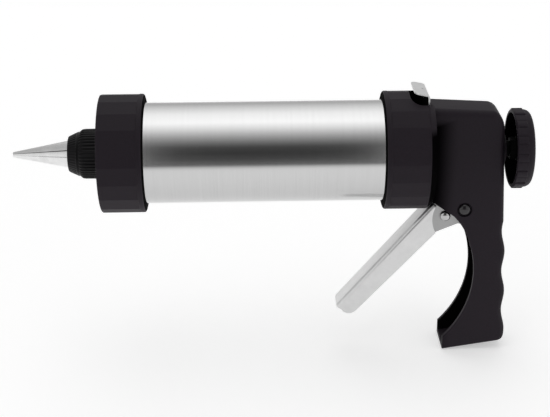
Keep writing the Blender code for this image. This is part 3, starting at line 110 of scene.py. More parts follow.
# ---------------------------------------------------------------- mesh helpers

def place(point):
    """Millimetres on the press's axes as metres in the frame."""
    return Vector((AXIS_X + point[0] * MM, point[1] * MM, AXIS_Z + point[2] * MM))


def make(name, shape, material, sharp=35.0):
    """A mesh object from vertices and faces."""
    vertices, faces = shape
    mesh = bpy.data.meshes.new(name)
    mesh.from_pydata([place(v) for v in vertices], [], faces)
    work = bmesh.new()
    work.from_mesh(mesh)
    bmesh.ops.recalc_face_normals(work, faces=work.faces)
    work.to_mesh(mesh)
    work.free()
    mesh.shade_smooth()
    mesh.set_sharp_from_angle(angle=math.radians(sharp))
    if material:
        mesh.materials.append(material)
    thing = bpy.data.objects.new(name, mesh)
    bpy.context.scene.collection.objects.link(thing)
    return thing


def stitch(loops, closed=False, caps=False):
    """Quads between loops of equal length."""
    size = len(loops[0])
    vertices = [p for loop in loops for p in loop]
    faces = []
    pairs = [(k, k + 1) for k in range(len(loops) - 1)]
    if closed:
        pairs.append((len(loops) - 1, 0))
    for a, b in pairs:
        for i in range(size):
            j = (i + 1) % size
            faces.append((a * size + i, a * size + j, b * size + j, b * size + i))
    if caps:
        faces.append(tuple(range(size)))
        faces.append(tuple(range(len(vertices) - 1, len(vertices) - size - 1, -1)))
    return vertices, faces


def angles_round(steps):
    """Even angles round a full turn, in radians."""
    return [2 * math.pi * i / steps for i in range(steps)]


def turned(stations, angles, lifts=None, closed=True):
    """Stations (x, radius[, share of lift]) turned about the X axis."""
    loops = []
    for station in stations:
        x, radius = station[0], max(station[1], 0.004)
        share = station[2] if len(station) > 2 else 0.0
        loop = []
        for i, angle in enumerate(angles):
            reach = radius + (share * lifts[i] if share else 0.0)
            loop.append((x, -reach * math.cos(angle), reach * math.sin(angle)))
        loops.append(loop)
    return stitch(loops, closed=closed, caps=not closed)


def turned_y(stations, steps, centre):
    """Stations (y, radius) turned about a cross axis through centre (x, z), closed at both ends."""
    loops = []
    for y, radius in stations:
        radius = max(radius, 0.004)
        loops.append([(centre[0] + radius * math.cos(a), y, centre[1] + radius * math.sin(a))
                      for a in angles_round(steps)])
    return stitch(loops, caps=True)


def facets(angles, count, turn):
    """How far flat facets lie inside the round of their corners, per unit of radius."""
    half = math.pi / count
    out = []
    for angle in angles:
        local = (angle - math.radians(turn)) % (2 * half) - half
        out.append(math.cos(half) / math.cos(local) - 1)
    return out


def arc(centre, radius, start, end, steps):
    """Points on an arc from start to end, in degrees."""
    points = []
    for i in range(steps + 1):
        a = math.radians(start + (end - start) * i / steps)
        points.append((centre[0] + radius * math.cos(a), centre[1] + radius * math.sin(a)))
    return points


def bend(start, corner, end, steps):
    """Points on a curve from start to end that is drawn towards the corner."""
    points = []
    for i in range(steps + 1):
        t = i / steps
        a, b, c = (1 - t) ** 2, 2 * t * (1 - t), t ** 2
        points.append((a * start[0] + b * corner[0] + c * end[0],
                       a * start[1] + b * corner[1] + c * end[1]))
    return points


def extruded(outline, low, high, axis="Y"):
    """A flat outline drawn out along Y, X or Z."""
    order = {"Y": lambda p, d: (p[0], d, p[1]), "X": lambda p, d: (d, p[0], p[1]),
             "Z": lambda p, d: (p[0], p[1], d)}[axis]
    return stitch([[order(p, low) for p in outline], [order(p, high) for p in outline]], caps=True)


def disc(centre, radius, low, high, steps=64, axis="Y"):
    """A round bar from low to high along an axis."""
    return extruded(arc(centre, radius, 0, 360, steps)[:-1], low, high, axis)


def box(low, high):
    """A box between two corners."""
    outline = [(low[0], low[2]), (high[0], low[2]), (high[0], high[2]), (low[0], high[2])]
    return extruded(outline, low[1], high[1])


def inward_normals(outline):
    """At each point, the way in that moves both its edges by one unit, limited at sharp corners."""
    after_each = outline[1:] + outline[:1]
    area = sum(p[0] * q[1] - q[0] * p[1] for p, q in zip(outline, after_each))
    turn = 1 if area > 0 else -1
    normals = []
    for i, point in enumerate(outline):
        before = Vector(point) - Vector(outline[i - 1])
        after = Vector(after_each[i]) - Vector(point)
        sides = [Vector((-e.y, e.x)).normalized() * turn for e in (before, after)]
        middle = (sides[0] + sides[1]).normalized()
        normals.append(middle / max(middle.dot(sides[0]), 0.5))
    return normals


def slab(outline, rounds, half, steps=8, flat_front=False):
    """An outline in X and Z drawn out to both sides, each point with its own edge rounding."""
    normals = inward_normals(outline)
    if flat_front:
        for end, inner in ((0, 1), (-1, -2)):
            edge = (Vector(outline[inner]) - Vector(outline[end])).normalized()
            side = Vector((-edge.y, edge.x))
            rise = side.y if side.dot(normals[end]) > 0 else -side.y
            normals[end] = Vector((0, 1 / rise))
    loops = []
    for side in (-1, 1):
        sweep = [math.pi / 2 * k / steps for k in range(steps + 1)]
        if side < 0:
            sweep.reverse()
        for a in sweep:
            loops.append([(p[0] + r * (1 - math.cos(a)) * n.x,
                           side * (half - r + r * math.sin(a)),
                           p[1] + r * (1 - math.cos(a)) * n.y)
                          for p, r, n in zip(outline, rounds, normals)])
    return stitch(loops, caps=True)


def combine(target, helper_shape, operation="DIFFERENCE", name="helper"):
    """Cut or join a solid in place, and drop the helper."""
    helper = make(name, helper_shape, None)
    step = target.modifiers.new("step", "BOOLEAN")
    step.operation = operation
    step.solver = "EXACT"
    step.object = helper
    bpy.context.view_layer.update()
    solved = target.evaluated_get(bpy.context.evaluated_depsgraph_get())
    done = bpy.data.meshes.new_from_object(solved)
    target.modifiers.clear()
    old = target.data
    target.data = done
    done.name = target.name
    bpy.data.meshes.remove(old)
    bpy.data.objects.remove(helper, do_unlink=True)


def finish_edges(target, width, angle=40.0, sharp=32.0):
    """Merge what the cuts left double, then soften the edges a little."""
    work = bmesh.new()
    work.from_mesh(target.data)
    bmesh.ops.remove_doubles(work, verts=work.verts, dist=0.00001)
    bmesh.ops.dissolve_degenerate(work, edges=work.edges, dist=0.00001)
    work.to_mesh(target.data)
    work.free()
    target.data.shade_smooth()
    target.data.set_sharp_from_angle(angle=math.radians(sharp))
    step = target.modifiers.new("edge", "BEVEL")
    step.width = width * MM
    step.segments = 2
    step.limit_method = "ANGLE"
    step.angle_limit = math.radians(angle)
    step.harden_normals = True
    step.use_clamp_overlap = True


def paint(piece, material, test):
    """A second material on the faces whose middle (x, y, z in millimetres) passes the test."""
    piece.data.materials.append(material)
    index = len(piece.data.materials) - 1
    for face in piece.data.polygons:
        x, y, z = face.center
        if test((x - AXIS_X) / MM, y / MM, (z - AXIS_Z) / MM, face.normal):
            face.material_index = index


def stand_in(piece, node, body):
    """A detailed piece takes the place of one CAD node."""
    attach(piece, body)
    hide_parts(node)


# ---------------------------------------------------------------- shader helpers

def shader_of(name):
    """A new material, its nodes and its surface shader."""
    material = bpy.data.materials.new(name)
    material.use_nodes = True
    return material, material.node_tree, material.node_tree.nodes["Principled BSDF"]


def add_node(tree, kind, **values):
    """A node with values on its inputs, where it has an input of that name, or on itself."""
    node = tree.nodes.new(kind)
    for key, value in values.items():
        if key in node.inputs:
            node.inputs[key].default_value = value
        else:
            setattr(node, key, value)
    return node


def feed(tree, value, socket):
    """Link another node's output to a socket, or set a plain value on it."""
    if isinstance(value, bpy.types.NodeSocket):
        tree.links.new(value, socket)
    else:
        socket.default_value = value


def computed(tree, operation, *values):
    """The result of a Math node on outputs or numbers."""
    node = add_node(tree, "ShaderNodeMath", operation=operation)
    for value, socket in zip(values, node.inputs):
        feed(tree, value, socket)
    return node.outputs["Value"]


def ranged(tree, value, span, result=(0.0, 1.0), smooth=False):
    """A value taken from one range into another."""
    node = add_node(tree, "ShaderNodeMapRange",
                    interpolation_type="SMOOTHSTEP" if smooth else "LINEAR")
    for name, limit in zip(("From Min", "From Max", "To Min", "To Max"), (*span, *result)):
        node.inputs[name].default_value = limit
    tree.links.new(value, node.inputs["Value"])
    return node.outputs["Result"]


def tinted(tree, colour, share):
    """A colour, or an output that gives one, times a share."""
    node = add_node(tree, "ShaderNodeVectorMath", operation="SCALE")
    feed(tree, colour, node.inputs[0])
    tree.links.new(share, node.inputs["Scale"])
    return node.outputs["Vector"]


def relief(tree, shader, height, strength):
    """Fine relief on a shader's surface."""
    bump = add_node(tree, "ShaderNodeBump", Strength=strength, Distance=0.0001)
    tree.links.new(height, bump.inputs["Height"])
    tree.links.new(bump.outputs["Normal"], shader.inputs["Normal"])


def plastic(name, colour, roughness=0.5, grain=0.1, specular=0.35, painted_shade_ranges=()):
    """Moulded plastic with a fine matte grain, with painted shade: darker and less glossy where
    every painted shade range gives 0.

    A painted shade range is an axis, the two places in metres that it runs between, and its two
    results.
    """
    material, tree, shader = shader_of(name)
    shader.inputs["Roughness"].default_value = roughness
    shader.inputs["Specular IOR Level"].default_value = specular
    place_in = add_node(tree, "ShaderNodeTexCoord").outputs["Object"]
    noise = add_node(tree, "ShaderNodeTexNoise", Scale=2600.0, Detail=2.0, Roughness=0.6)
    tree.links.new(place_in, noise.inputs["Vector"])
    ramp = add_node(tree, "ShaderNodeValToRGB")
    for stop, position, gain in zip(ramp.color_ramp.elements, (0.3, 0.75), (0.8, 1.22)):
        stop.position = position
        stop.color = (*[c * gain for c in colour], 1)
    tree.links.new(noise.outputs["Fac"], ramp.inputs["Fac"])
    tone = ramp.outputs["Color"]
    if painted_shade_ranges:
        split = add_node(tree, "ShaderNodeSeparateXYZ")
        tree.links.new(place_in, split.inputs["Vector"])
        share = 0.0
        for axis, start, end, low, high in painted_shade_ranges:
            step = ranged(tree, split.outputs[axis], (start, end), (low, high), smooth=True)
            share = computed(tree, "MAXIMUM", share, step)
        tone = tinted(tree, tone, share)
        feed(tree, computed(tree, "MULTIPLY", share, specular), shader.inputs["Specular IOR Level"])
    tree.links.new(tone, shader.inputs["Base Color"])
    relief(tree, shader, noise.outputs["Fac"], grain)
    return material


def metal(name, colour, roughness, streaks, contrast, bump=0.0):
    """Steel or brass with fine streaks that are long where their scale is small."""
    material, tree, shader = shader_of(name)
    shader.inputs["Metallic"].default_value = 1.0
    place_in = add_node(tree, "ShaderNodeTexCoord").outputs["Object"]
    mapping = add_node(tree, "ShaderNodeMapping", Scale=streaks)
    tree.links.new(place_in, mapping.inputs["Vector"])
    noise = add_node(tree, "ShaderNodeTexNoise", Scale=1.0, Detail=4.0, Roughness=0.65)
    tree.links.new(mapping.outputs["Vector"], noise.inputs["Vector"])
    less, more, height = 1.0 - contrast, 1.0 + contrast, noise.outputs["Fac"]
    tone = tinted(tree, colour, ranged(tree, height, (0.3, 0.7), (less, more)))
    tree.links.new(tone, shader.inputs["Base Color"])
    rough = ranged(tree, height, (0.3, 0.7), (roughness * less, roughness * more))
    tree.links.new(rough, shader.inputs["Roughness"])
    if bump:
        relief(tree, shader, height, bump)
    return material


def steel(name, grey, roughness, streaks, contrast=0.06, bump=0.0):
    """Steel of one grey tone. A single streak scale gives it an even mottle."""
    if not isinstance(streaks, tuple):
        streaks = (streaks,) * 3
    return metal(name, (grey,) * 3, roughness, streaks, contrast, bump)


# ---------------------------------------------------------------- materials

BLACK_TONE = (0.0142, 0.0098, 0.0148)
BLACK = plastic("black_plastic", BLACK_TONE, roughness=0.6, specular=0.19)
# Painted shade on the housing's sides: darker and less glossy from the collar's chamfer backwards
HOUSING_BLACK = plastic("housing_black", BLACK_TONE, roughness=0.6, specular=0.19, painted_shade_ranges=(
    ("X", AXIS_X + (COLLAR_REAR + 1) * MM, AXIS_X + (COLLAR_REAR + 13) * MM, 0.05, 1.0),
    ("X", AXIS_X + (COLLAR_END - 0.9) * MM, AXIS_X + (COLLAR_END - 0.6) * MM, 1.0, 0.0),
    ("Z", AXIS_Z + 14 * MM, AXIS_Z + 19 * MM, 0.0, 1.0)))
NUT_BLACK = plastic("nut_black", (0.0035, 0.003, 0.0038), roughness=0.32, grain=0.04, specular=0.12)
# Painted shade: a near-black matte put on bores, hollows and the pocket, where shade falls
SHADE_BLACK = plastic("painted_shade_black", (0.002, 0.0018, 0.002), roughness=0.9, grain=0.0, specular=0.02)
GLOSS_BLACK = plastic("gloss_black", (0.009, 0.007, 0.009), roughness=0.2, grain=0.01, specular=0.6)
# Painted shade on steel: the knob's nut, the rod's end by the knob and the release plate's lower
# front
SHADE_STEEL = plastic("painted_shade_steel", (0.004, 0.004, 0.004), roughness=0.6, grain=0.02,
                     specular=0.03)
RUBBER = plastic("pale_silicone", (0.42, 0.42, 0.4), roughness=0.6, grain=0.02)
BARREL_STEEL = steel("barrel_steel", 0.6, 0.16, (3200.0, 24.0, 24.0), 0.035, 0.03)
LEVER_STEEL = steel("lever_steel", 0.69, 0.33, 160.0, 0.05)
POLISHED = steel("polished_steel", 0.78, 0.14, 180.0, 0.08)
PLATE_STEEL = steel("plate_steel", 0.76, 0.42, 220.0)
# The trigger's set-in ears: a darker, duller copy of the lever's steel, as painted shade
EAR_SHADE_STEEL = steel("ear_painted_shade_steel", 0.41, 0.4, 200.0)
RIVET_STEEL = steel("rivet_steel", 0.5, 0.12, 200.0)
# Painted shadow: dark steel in the cone's seam groove and on the rivet's sides
SHADOW_STEEL = steel("painted_shadow_steel", 0.07, 0.5, 200.0)
BRASS = metal("turned_brass", (0.66, 0.5, 0.24), 0.32, (900.0, 60.0, 60.0), 0.1)

# Nodes that stay as the CAD made them
for material, node_names in (
        (BLACK, ("piston_disc", "rear_bush", "nozzle_adaptor")),
        (PLATE_STEEL, ("drive_plate", "guide_plate", "pivot_clip", "piston_washer")),
        (POLISHED, ("piston_nut", "drive_spring", "brake_spring")),
        # The knob's nut in the painted shade steel
        (SHADE_STEEL, ("knob_nut",)),
        (BRASS, ("front_bush",)),
        (RUBBER, ("piston_seal", "barrel_gasket"))):
    for node_name in node_names:
        mesh = NODES[node_name].data
        mesh.materials.clear()
        mesh.materials.append(material)


# ---------------------------------------------------------------- barrel and rings

def build_barrel():
    """The plain tube, with a rolled bead near each end that the rings hide."""
    front, rear = BARREL_FRONT, SEAT - 0.3
    edge = 0.15
    stations = [(front, BARREL_R - edge), (front + edge, BARREL_R)]
    for middle in (front + BEAD_INSET, rear - BEAD_INSET):
        for offset, rise in ((-0.8, 0.0), (-0.3, 0.2), (0.0, 0.25), (0.3, 0.2), (0.8, 0.0)):
            stations.append((middle + offset, BARREL_R + rise))
    stations += [(rear - edge, BARREL_R), (rear, BARREL_R - edge),
                 (rear, BARREL_BORE), (front, BARREL_BORE)]
    barrel = make("barrel", turned(stations, angles_round(192)), BARREL_STEEL)
    stand_in(barrel, "barrel_tube", "handle")


def ring_angles(turn):
    """Angles with a close pair at each facet's corner, so that every facet is flat to its edges."""
    return [math.radians(turn + FACET * k + step)
            for k in range(FACETS) for step in (0.0, 0.35, 3.0, 6.0, 9.0, 12.0, 15.0, 17.65)]


def ring_lip(end, way):
    """Stations from a ring's facets over its round rim and sloped end face to its bore.

    way is 1 where the lip points towards the knob, and -1 where it points to the nozzle.
    """
    stations = [(end - way * 2.3, RING_R, RING_R)]
    for inset, drop in ((2.05, 0.05), (1.95, 0.0), (0.5, 0.0), (0.15, 0.1), (-0.1, 0.35),
                        (-0.22, 0.6)):
        stations.append((end - way * inset, RING_R - drop))
    return stations + [(end + way * 0.95, RING_BORE + 0.25), (end + way * 0.98, RING_BORE)]


def build_front_ring():
    """The screw ring: a stepped front face with a wide opening, flat facets, and the rear lip."""
    angles = ring_angles(RING_TURN)
    rear = RING_X + RING_LENGTH
    web, step, opening = RING_X + 3.0, RING_X + 0.75, 10.4
    stations = [(RING_X, 13.2), (step, 13.9), (step, 24.7), (RING_X, RING_BORE),
                (RING_X, RING_R - 0.55), (RING_X + 0.08, RING_R - 0.35),
                (RING_X + 0.4, RING_R, RING_R), (RING_X + 0.5, RING_R, RING_R),
                (rear - 2.35, RING_R, RING_R)]
    stations += ring_lip(rear, 1) + [(web, RING_BORE), (web, opening), (RING_X, opening)]
    ring = make("front_ring_black", turned(stations, angles, facets(angles, FACETS, RING_TURN)),
                BLACK, sharp=14.0)

    def in_shade(x, y, z, normal):
        """Faces in painted shade: the sloped rear face and the bore."""
        return x > rear + 0.25 or (x > web and math.hypot(y, z) < RING_BORE + 0.5)

    paint(ring, SHADE_BLACK, in_shade)
    stand_in(ring, "front_ring", "ring")


def collar_stations():
    """The handle's collar, from its closed seat over its lip and facets to the rear chamfer."""
    seat = [(SEAT, 0.0), (SEAT, RING_BORE)]
    rear = [(COLLAR_END - 1.3, RING_R, RING_R), (COLLAR_END - 1.05, RING_R - 0.05),
            (COLLAR_END - 0.95, RING_R), (COLLAR_END - 0.45, RING_R - 0.12),
            (COLLAR_REAR - 0.2, RING_R - CHAMFER + 0.1),
            (COLLAR_REAR, RING_R - CHAMFER - 0.12), (COLLAR_REAR, 0.0)]
    return seat + ring_lip(0.0, -1)[::-1] + rear


# ---------------------------------------------------------------- nozzle

def tip_radius(x):
    """The cone's outer radius."""
    share = (TIP_BASE - x) / (TIP_BASE - TIP_END)
    return TIP_BASE_R + (TIP_END_R - TIP_BASE_R) * share


def build_tip():
    """The thin steel cone, with the groove of its rolled seam."""
    stations = [(TIP_BASE, 8.3), (TIP_BASE - 0.1, TIP_BASE_R, 1.0),
                (TIP_END + 0.3, 1.41, 1.0), (TIP_END + 0.08, 1.33, 1.0),
                (TIP_END, 1.2), (TIP_END, 0.9), (TIP_BASE, 7.95)]

    def on_seam(degrees):
        """Whether an angle round the cone lies in its seam."""
        return 0 < degrees - SEAM_FROM < SEAM_WIDTH

    profile = [(a, 0.0) for a in angles_round(144) if not on_seam(math.degrees(a))]
    for share, lift in ((0, 0.0), (0.25, -SEAM_DEPTH), (0.75, -SEAM_DEPTH), (1, 0.0)):
        profile.append((math.radians(SEAM_FROM + SEAM_WIDTH * share), lift))
    angles, lifts = zip(*sorted(profile))
    tip = make("nozzle_cone", turned(stations, angles, lifts), POLISHED)
    # Painted shadow in the seam's groove
    paint(tip, SHADOW_STEEL, lambda x, y, z, n: on_seam(math.degrees(math.atan2(z, -y))))
    stand_in(tip, "nozzle_tip", "tip")


def build_nut():
    """The fluted nut, its smooth cone and the thin light band between them."""
    per_flute = 8
    angles = angles_round(FLUTES * per_flute)
    lifts = [-0.5 + 0.5 * math.cos(2 * math.pi * (i % per_flute) / per_flute)
             for i in range(len(angles))]
    front, rear, bore, fit = NUT_FRONT, NUT_REAR, 9.7, 0.3
    cone_end = front + 4.3
    body = cone_end + 1.5
    stations = [(front, 8.65), (front + 0.2, 8.9, 0.15), (cone_end - 0.2, 10.7, 0.25),
                (cone_end, 10.75, 0.1), (cone_end + 0.25, 11.0), (body - 0.2, 11.05),
                (body, 11.1), (body + 0.25, 11.6, 0.35), (body + 1.2, 12.2, 0.4),
                (body + 2.6, 12.4, 0.4), (rear - 1.2, 12.45, 0.4), (rear - 0.25, 12.42, 0.4),
                (rear, 12.2, 0.4), (rear, bore), (TIP_BASE, bore),
                (TIP_BASE, tip_radius(TIP_BASE) + fit), (front, tip_radius(front) + fit)]
    nut = make("nozzle_nut", turned(stations, angles, lifts), NUT_BLACK, sharp=30.0)
    stand_in(nut, "coupling_nut", "coupling")


# ---------------------------------------------------------------- rod and knob

def build_rod():
    """The long rod, stepped down for the piston in front and for the knob behind."""
    edge, front_step, rear_step = 0.2, -115.9, 62.8
    shade = REAR_X - 0.4
    stations = [(ROD_FRONT, 2.7), (ROD_FRONT + 0.3, THREAD_R), (front_step, THREAD_R),
                (front_step, ROD_R - edge), (front_step + edge, ROD_R), (shade, ROD_R),
                (rear_step - edge, ROD_R), (rear_step, ROD_R - edge), (rear_step, THREAD_R),
                (ROD_REAR - 0.3, THREAD_R), (ROD_REAR, 2.7)]
    rod = make("push_rod", turned(stations, angles_round(64), closed=False), POLISHED)
    # Painted shade on the rod's end between the housing and the knob
    paint(rod, SHADE_STEEL, lambda x, y, z, n: x > shade)
    stand_in(rod, "piston_rod", "rod")


def build_knob():
    """The ribbed cap with its deep hollow, the boss for the nut inside and a dished rear face."""
    pitch = 2 * math.pi / RIBS
    half = pitch * RIB_SHARE / 2
    profile = ((-half - 0.045, 0.0), (-half - 0.030, -GROOVE), (-half - 0.012, -GROOVE),
               (-half, 0.75), (-half + 0.012, 1.0), (0.0, 1.0), (half - 0.012, 1.0),
               (half, 0.75), (half + 0.012, -GROOVE), (half + 0.030, -GROOVE),
               (half + 0.045, 0.0), (pitch / 2 - 0.06, 0.0), (pitch / 2, 0.0),
               (pitch / 2 + 0.06, 0.0))
    middles = [math.radians(RIB_TURN) + i * pitch for i in range(RIBS)]
    angles = [middle + offset for middle in middles for offset, lift in profile]
    lifts = [lift for offset, lift in profile] * RIBS

    front, rear, r, rib = KNOB_FRONT, KNOB_REAR, KNOB_R, RIB_HEIGHT
    grip, floor, inner = front + 5.4, rear - 1.9, r - 1.9
    bore, boss = 3.3, 6.5
    dome_x, dome_r, dome_drop, dome_steps = grip + 0.15, r - 0.2, 2.6, 8
    stations = [(floor, 0.0), (floor, bore), (front + 2.7, bore), (front + 2.7, boss - 0.3),
                (front + 3.0, boss), (floor - 0.3, boss), (floor, boss + 0.4),
                (floor, inner - 0.8), (floor - 0.5, inner - 0.35), (front + 0.2, inner),
                (front, inner + 0.2), (front, r - 0.5), (front + 0.1, r - 0.3),
                (front + 0.3, r - 0.05, rib * 0.6), (front + 0.55, r, rib),
                (grip - 0.25, r, rib), (grip, r - 0.05, rib * 0.6), (dome_x, dome_r)]
    for k in range(1, dome_steps):
        a = math.pi / 2 * k / dome_steps
        stations.append((dome_x + (rear - dome_x) * math.sin(a),
                         dome_r - dome_drop * (1 - math.cos(a))))
    stations += [(rear, r - 3.0), (rear - 0.1, r - 3.4), (rear - 0.75, r - 3.9), (rear - 0.8, 0.0)]
    knob = make("ribbed_knob", turned(stations, angles, lifts, closed=False), BLACK, sharp=30.0)
    # Painted shade inside the hollow
    paint(knob, SHADE_BLACK, lambda x, y, z, n: math.hypot(y, z) < inner + 0.1 and x < rear - 1.2)
    stand_in(knob, "knob", "rod")


# ---------------------------------------------------------------- handle

def rear_line(height):
    """X of the body's rear wall, which leans a little."""
    return REAR_X - REAR_LEAN * height


def top_line(x):
    """The body's top falls a little towards the knob."""
    return BODY_TOP - TOP_FALL * (x - COLLAR_REAR)


def top_corner(inset):
    """The oval corner from the body's top down into its rear line."""
    height = top_line(REAR_X - CORNER_ALONG) - CORNER_DOWN
    centre = rear_line(height) - CORNER_ALONG
    return [(centre + (CORNER_ALONG - inset) * math.sin(a),
             height + (CORNER_DOWN - inset) * math.cos(a))
            for a in (math.pi / 2 * k / 20 for k in range(21))]


def body_outline():
    """The handle's outline, from the front of its top round to the mouth under the collar."""
    points, rounds = [], []

    def add(new, start, end=None):
        """More points, with an edge rounding that goes evenly from start to end."""
        last = start if end is None else end
        for i, p in enumerate(new):
            points.append(p)
            rounds.append(start + (last - start) * i / max(len(new) - 1, 1))

    front_x = (SEAT + BULKHEAD) / 2
    back_edge = 3.0
    add([(front_x, top_line(front_x))], TOP_EDGE)
    add(top_corner(0.0), TOP_EDGE, back_edge)

    # Finger waves down the grip's back, and its heel
    bottom, steps = FOOT_DROP - HEEL, 96
    add([(rear_line(-WAVE_TOP), -WAVE_TOP)], back_edge)
    for i in range(1, steps + 1):
        drop = WAVE_TOP + (bottom - WAVE_TOP) * i / steps
        wave = WAVE_HEIGHT * math.sin(2 * math.pi * (drop - WAVE_TOP) / WAVE_PITCH)
        add([(rear_line(-drop) - wave, -drop)], back_edge)
    last = points[-1]
    foot = (last[0] - HEEL, -FOOT_DROP)
    add(bend(last, (last[0], -FOOT_DROP), foot, 12)[1:], back_edge, 1.5)

    # The toe, the round palm opening above it, and the mouth that the trigger swings in
    add([TOE], EDGE)
    palm, palm_r = (-4.1, -64.0), 51.0
    start = math.degrees(math.acos((TOE[0] - palm[0]) / palm_r))
    add(arc(palm, palm_r, -start, 17.5, 48), EDGE)
    mouth, corner, lead = (24.7, -24.7), (42.0, -39.2), (35.7, -32.5)
    add(bend(points[-1], corner, lead, 16)[1:], EDGE)
    add([mouth], EDGE)
    slope = (corner[1] - mouth[1]) / (corner[0] - mouth[0])
    add([(front_x, mouth[1] + slope * (front_x - mouth[0]))], EDGE)
    return points, rounds


def hollow_outline():
    """The inside: a wall's thickness within the top, the back and the foot, and open in front."""
    points = [(BULKHEAD, top_line(BULKHEAD) - WALL)] + top_corner(WALL)
    rounds = [1.0] * len(points)
    floor = FOOT_DROP - WALL
    wall_x, open_x, open_z, mouth_z = COLLAR_REAR + 0.3, TOE[0] - 6.0, -64.0, -24.0
    tail = [(rear_line(-floor) - WALL - WAVE_HEIGHT, -floor), (TOE[0], WALL + TOE[1]),
            (open_x, WALL + TOE[1]), (open_x, open_z), (wall_x, open_z), (wall_x, mouth_z),
            (BULKHEAD, mouth_z)]
    return points + tail, rounds + [EDGE] * len(tail)


def build_housing():
    """The one-piece moulding: collar, body and hollow grip, with bosses, rib, pocket and bores."""
    outline, rounds = body_outline()
    body = slab(outline, rounds, BODY_HALF, 10, True)
    housing = make("pistol_grip_housing", body, HOUSING_BLACK)
    angles = ring_angles(COLLAR_TURN)
    collar = turned(collar_stations(), angles, facets(angles, FACETS, COLLAR_TURN), closed=False)
    combine(housing, collar, "UNION", "collar")
    hollow, hollow_rounds = hollow_outline()
    combine(housing, slab(hollow, hollow_rounds, HOLLOW_HALF, 8, True))

    # Pivot bosses, and the rib that guides the brake plate's foot
    in_wall = HOLLOW_HALF + WALL / 2
    for side in (-1, 1):
        combine(housing, disc(PIVOT, 4.8, *sorted((side * 6.3, side * in_wall))), "UNION", "boss")
    combine(housing, box((21.2, -in_wall, -26.2), (23.4, in_wall, -15.5)), "UNION", "rib")

    # The D-shaped thumb pocket, the flat behind it, and the slot in the bulkhead's rear
    pocket_x, pocket_half, pocket_r, pocket_floor = 22.1, 11.8, 6.3, 19.4
    above = RING_R + PAST
    pocket = [(pocket_x, pocket_half)]
    for way, start in ((1, 90), (-1, 180)):
        pocket += arc((18.7, way * (pocket_half - pocket_r)), pocket_r, start, start + 90, 14)
    pocket.append((pocket_x, -pocket_half))
    combine(housing, extruded(pocket, pocket_floor, above, "Z"))
    combine(housing, box((21.5, -9.8, BODY_TOP + 0.06), (24.6, 12.6, above)))
    slot = HOLLOW_HALF + 0.8
    combine(housing, box((24.9, -slot, -13.3), (27.0, slot, 13.3)))

    # Bores for the two bushes and the pivot pin, with its sunk ends
    combine(housing, disc((0, 0), 6.8, SEAT - PAST, BULKHEAD + PAST, 48, "X"))
    combine(housing, disc((0, 0), 6.3, REAR_X - WALL - PAST, REAR_X + PAST, 48, "X"))
    past, sunk, sink_r = BODY_HALF + PAST, BODY_HALF - PIN_SINK, 3.8
    combine(housing, disc(PIVOT, PIN_BORE, -past, past, 48))
    combine(housing, disc(PIVOT, sink_r, -past, -sunk, 48))
    combine(housing, disc(PIVOT, sink_r, sunk, past, 48))
    finish_edges(housing, 0.18, sharp=16.0)

    def in_painted_shade(x, y, z, normal):
        """Faces in painted shade: the barrel's seat, the pocket's well and the grip's inner walls.
        """
        reach = math.hypot(y, z)
        bore = x < SEAT + 0.1 and (reach < RING_BORE + 0.5 or x < -0.25)
        well = 12.3 < x < 22.3 and z > 15.0 and reach < 28.3
        inner = abs(y) < HOLLOW_HALF + 0.05 and y * normal.y < -0.001
        return bore or well or (x > 23.0 and z < -30.0 and inner)

    paint(housing, SHADE_BLACK, in_painted_shade)
    stand_in(housing, "handle_housing", "handle")


def dome(start, sign, radius, height, steps=10):
    """Stations (y, radius) of a pin's domed head, outwards from its rim."""
    points = [(start, radius)]
    for i in range(steps + 1):
        a = math.pi / 2 * i / steps
        points.append((start + sign * height * (0.25 + 0.75 * math.sin(a)), radius * math.cos(a)))
    return points


def build_pivot():
    """The black pin, with a domed head in the housing's near recess."""
    seat = BODY_HALF - PIN_SINK + 0.3
    head, rise, shank, edge = 2.9, 2.0, 2.5, 0.3
    stations = dome(-seat, -1, head, rise)[::-1]
    stations += [(-seat, shank), (seat + 1.1, shank), (seat + 1.4, shank - edge)]
    pin = make("pivot_pin_black", turned_y(stations, 48, PIVOT), GLOSS_BLACK)
    stand_in(pin, "trigger_pivot_pin", "handle")


# ---------------------------------------------------------------- trigger

def on_lever(along, depth):
    """A point (x, z), this far down the trigger from its pivot and this deep from its web."""
    spot = Vector(PIVOT) + along * ALONG + (depth - WEB_OFFSET) * ACROSS
    return (spot.x, spot.y)


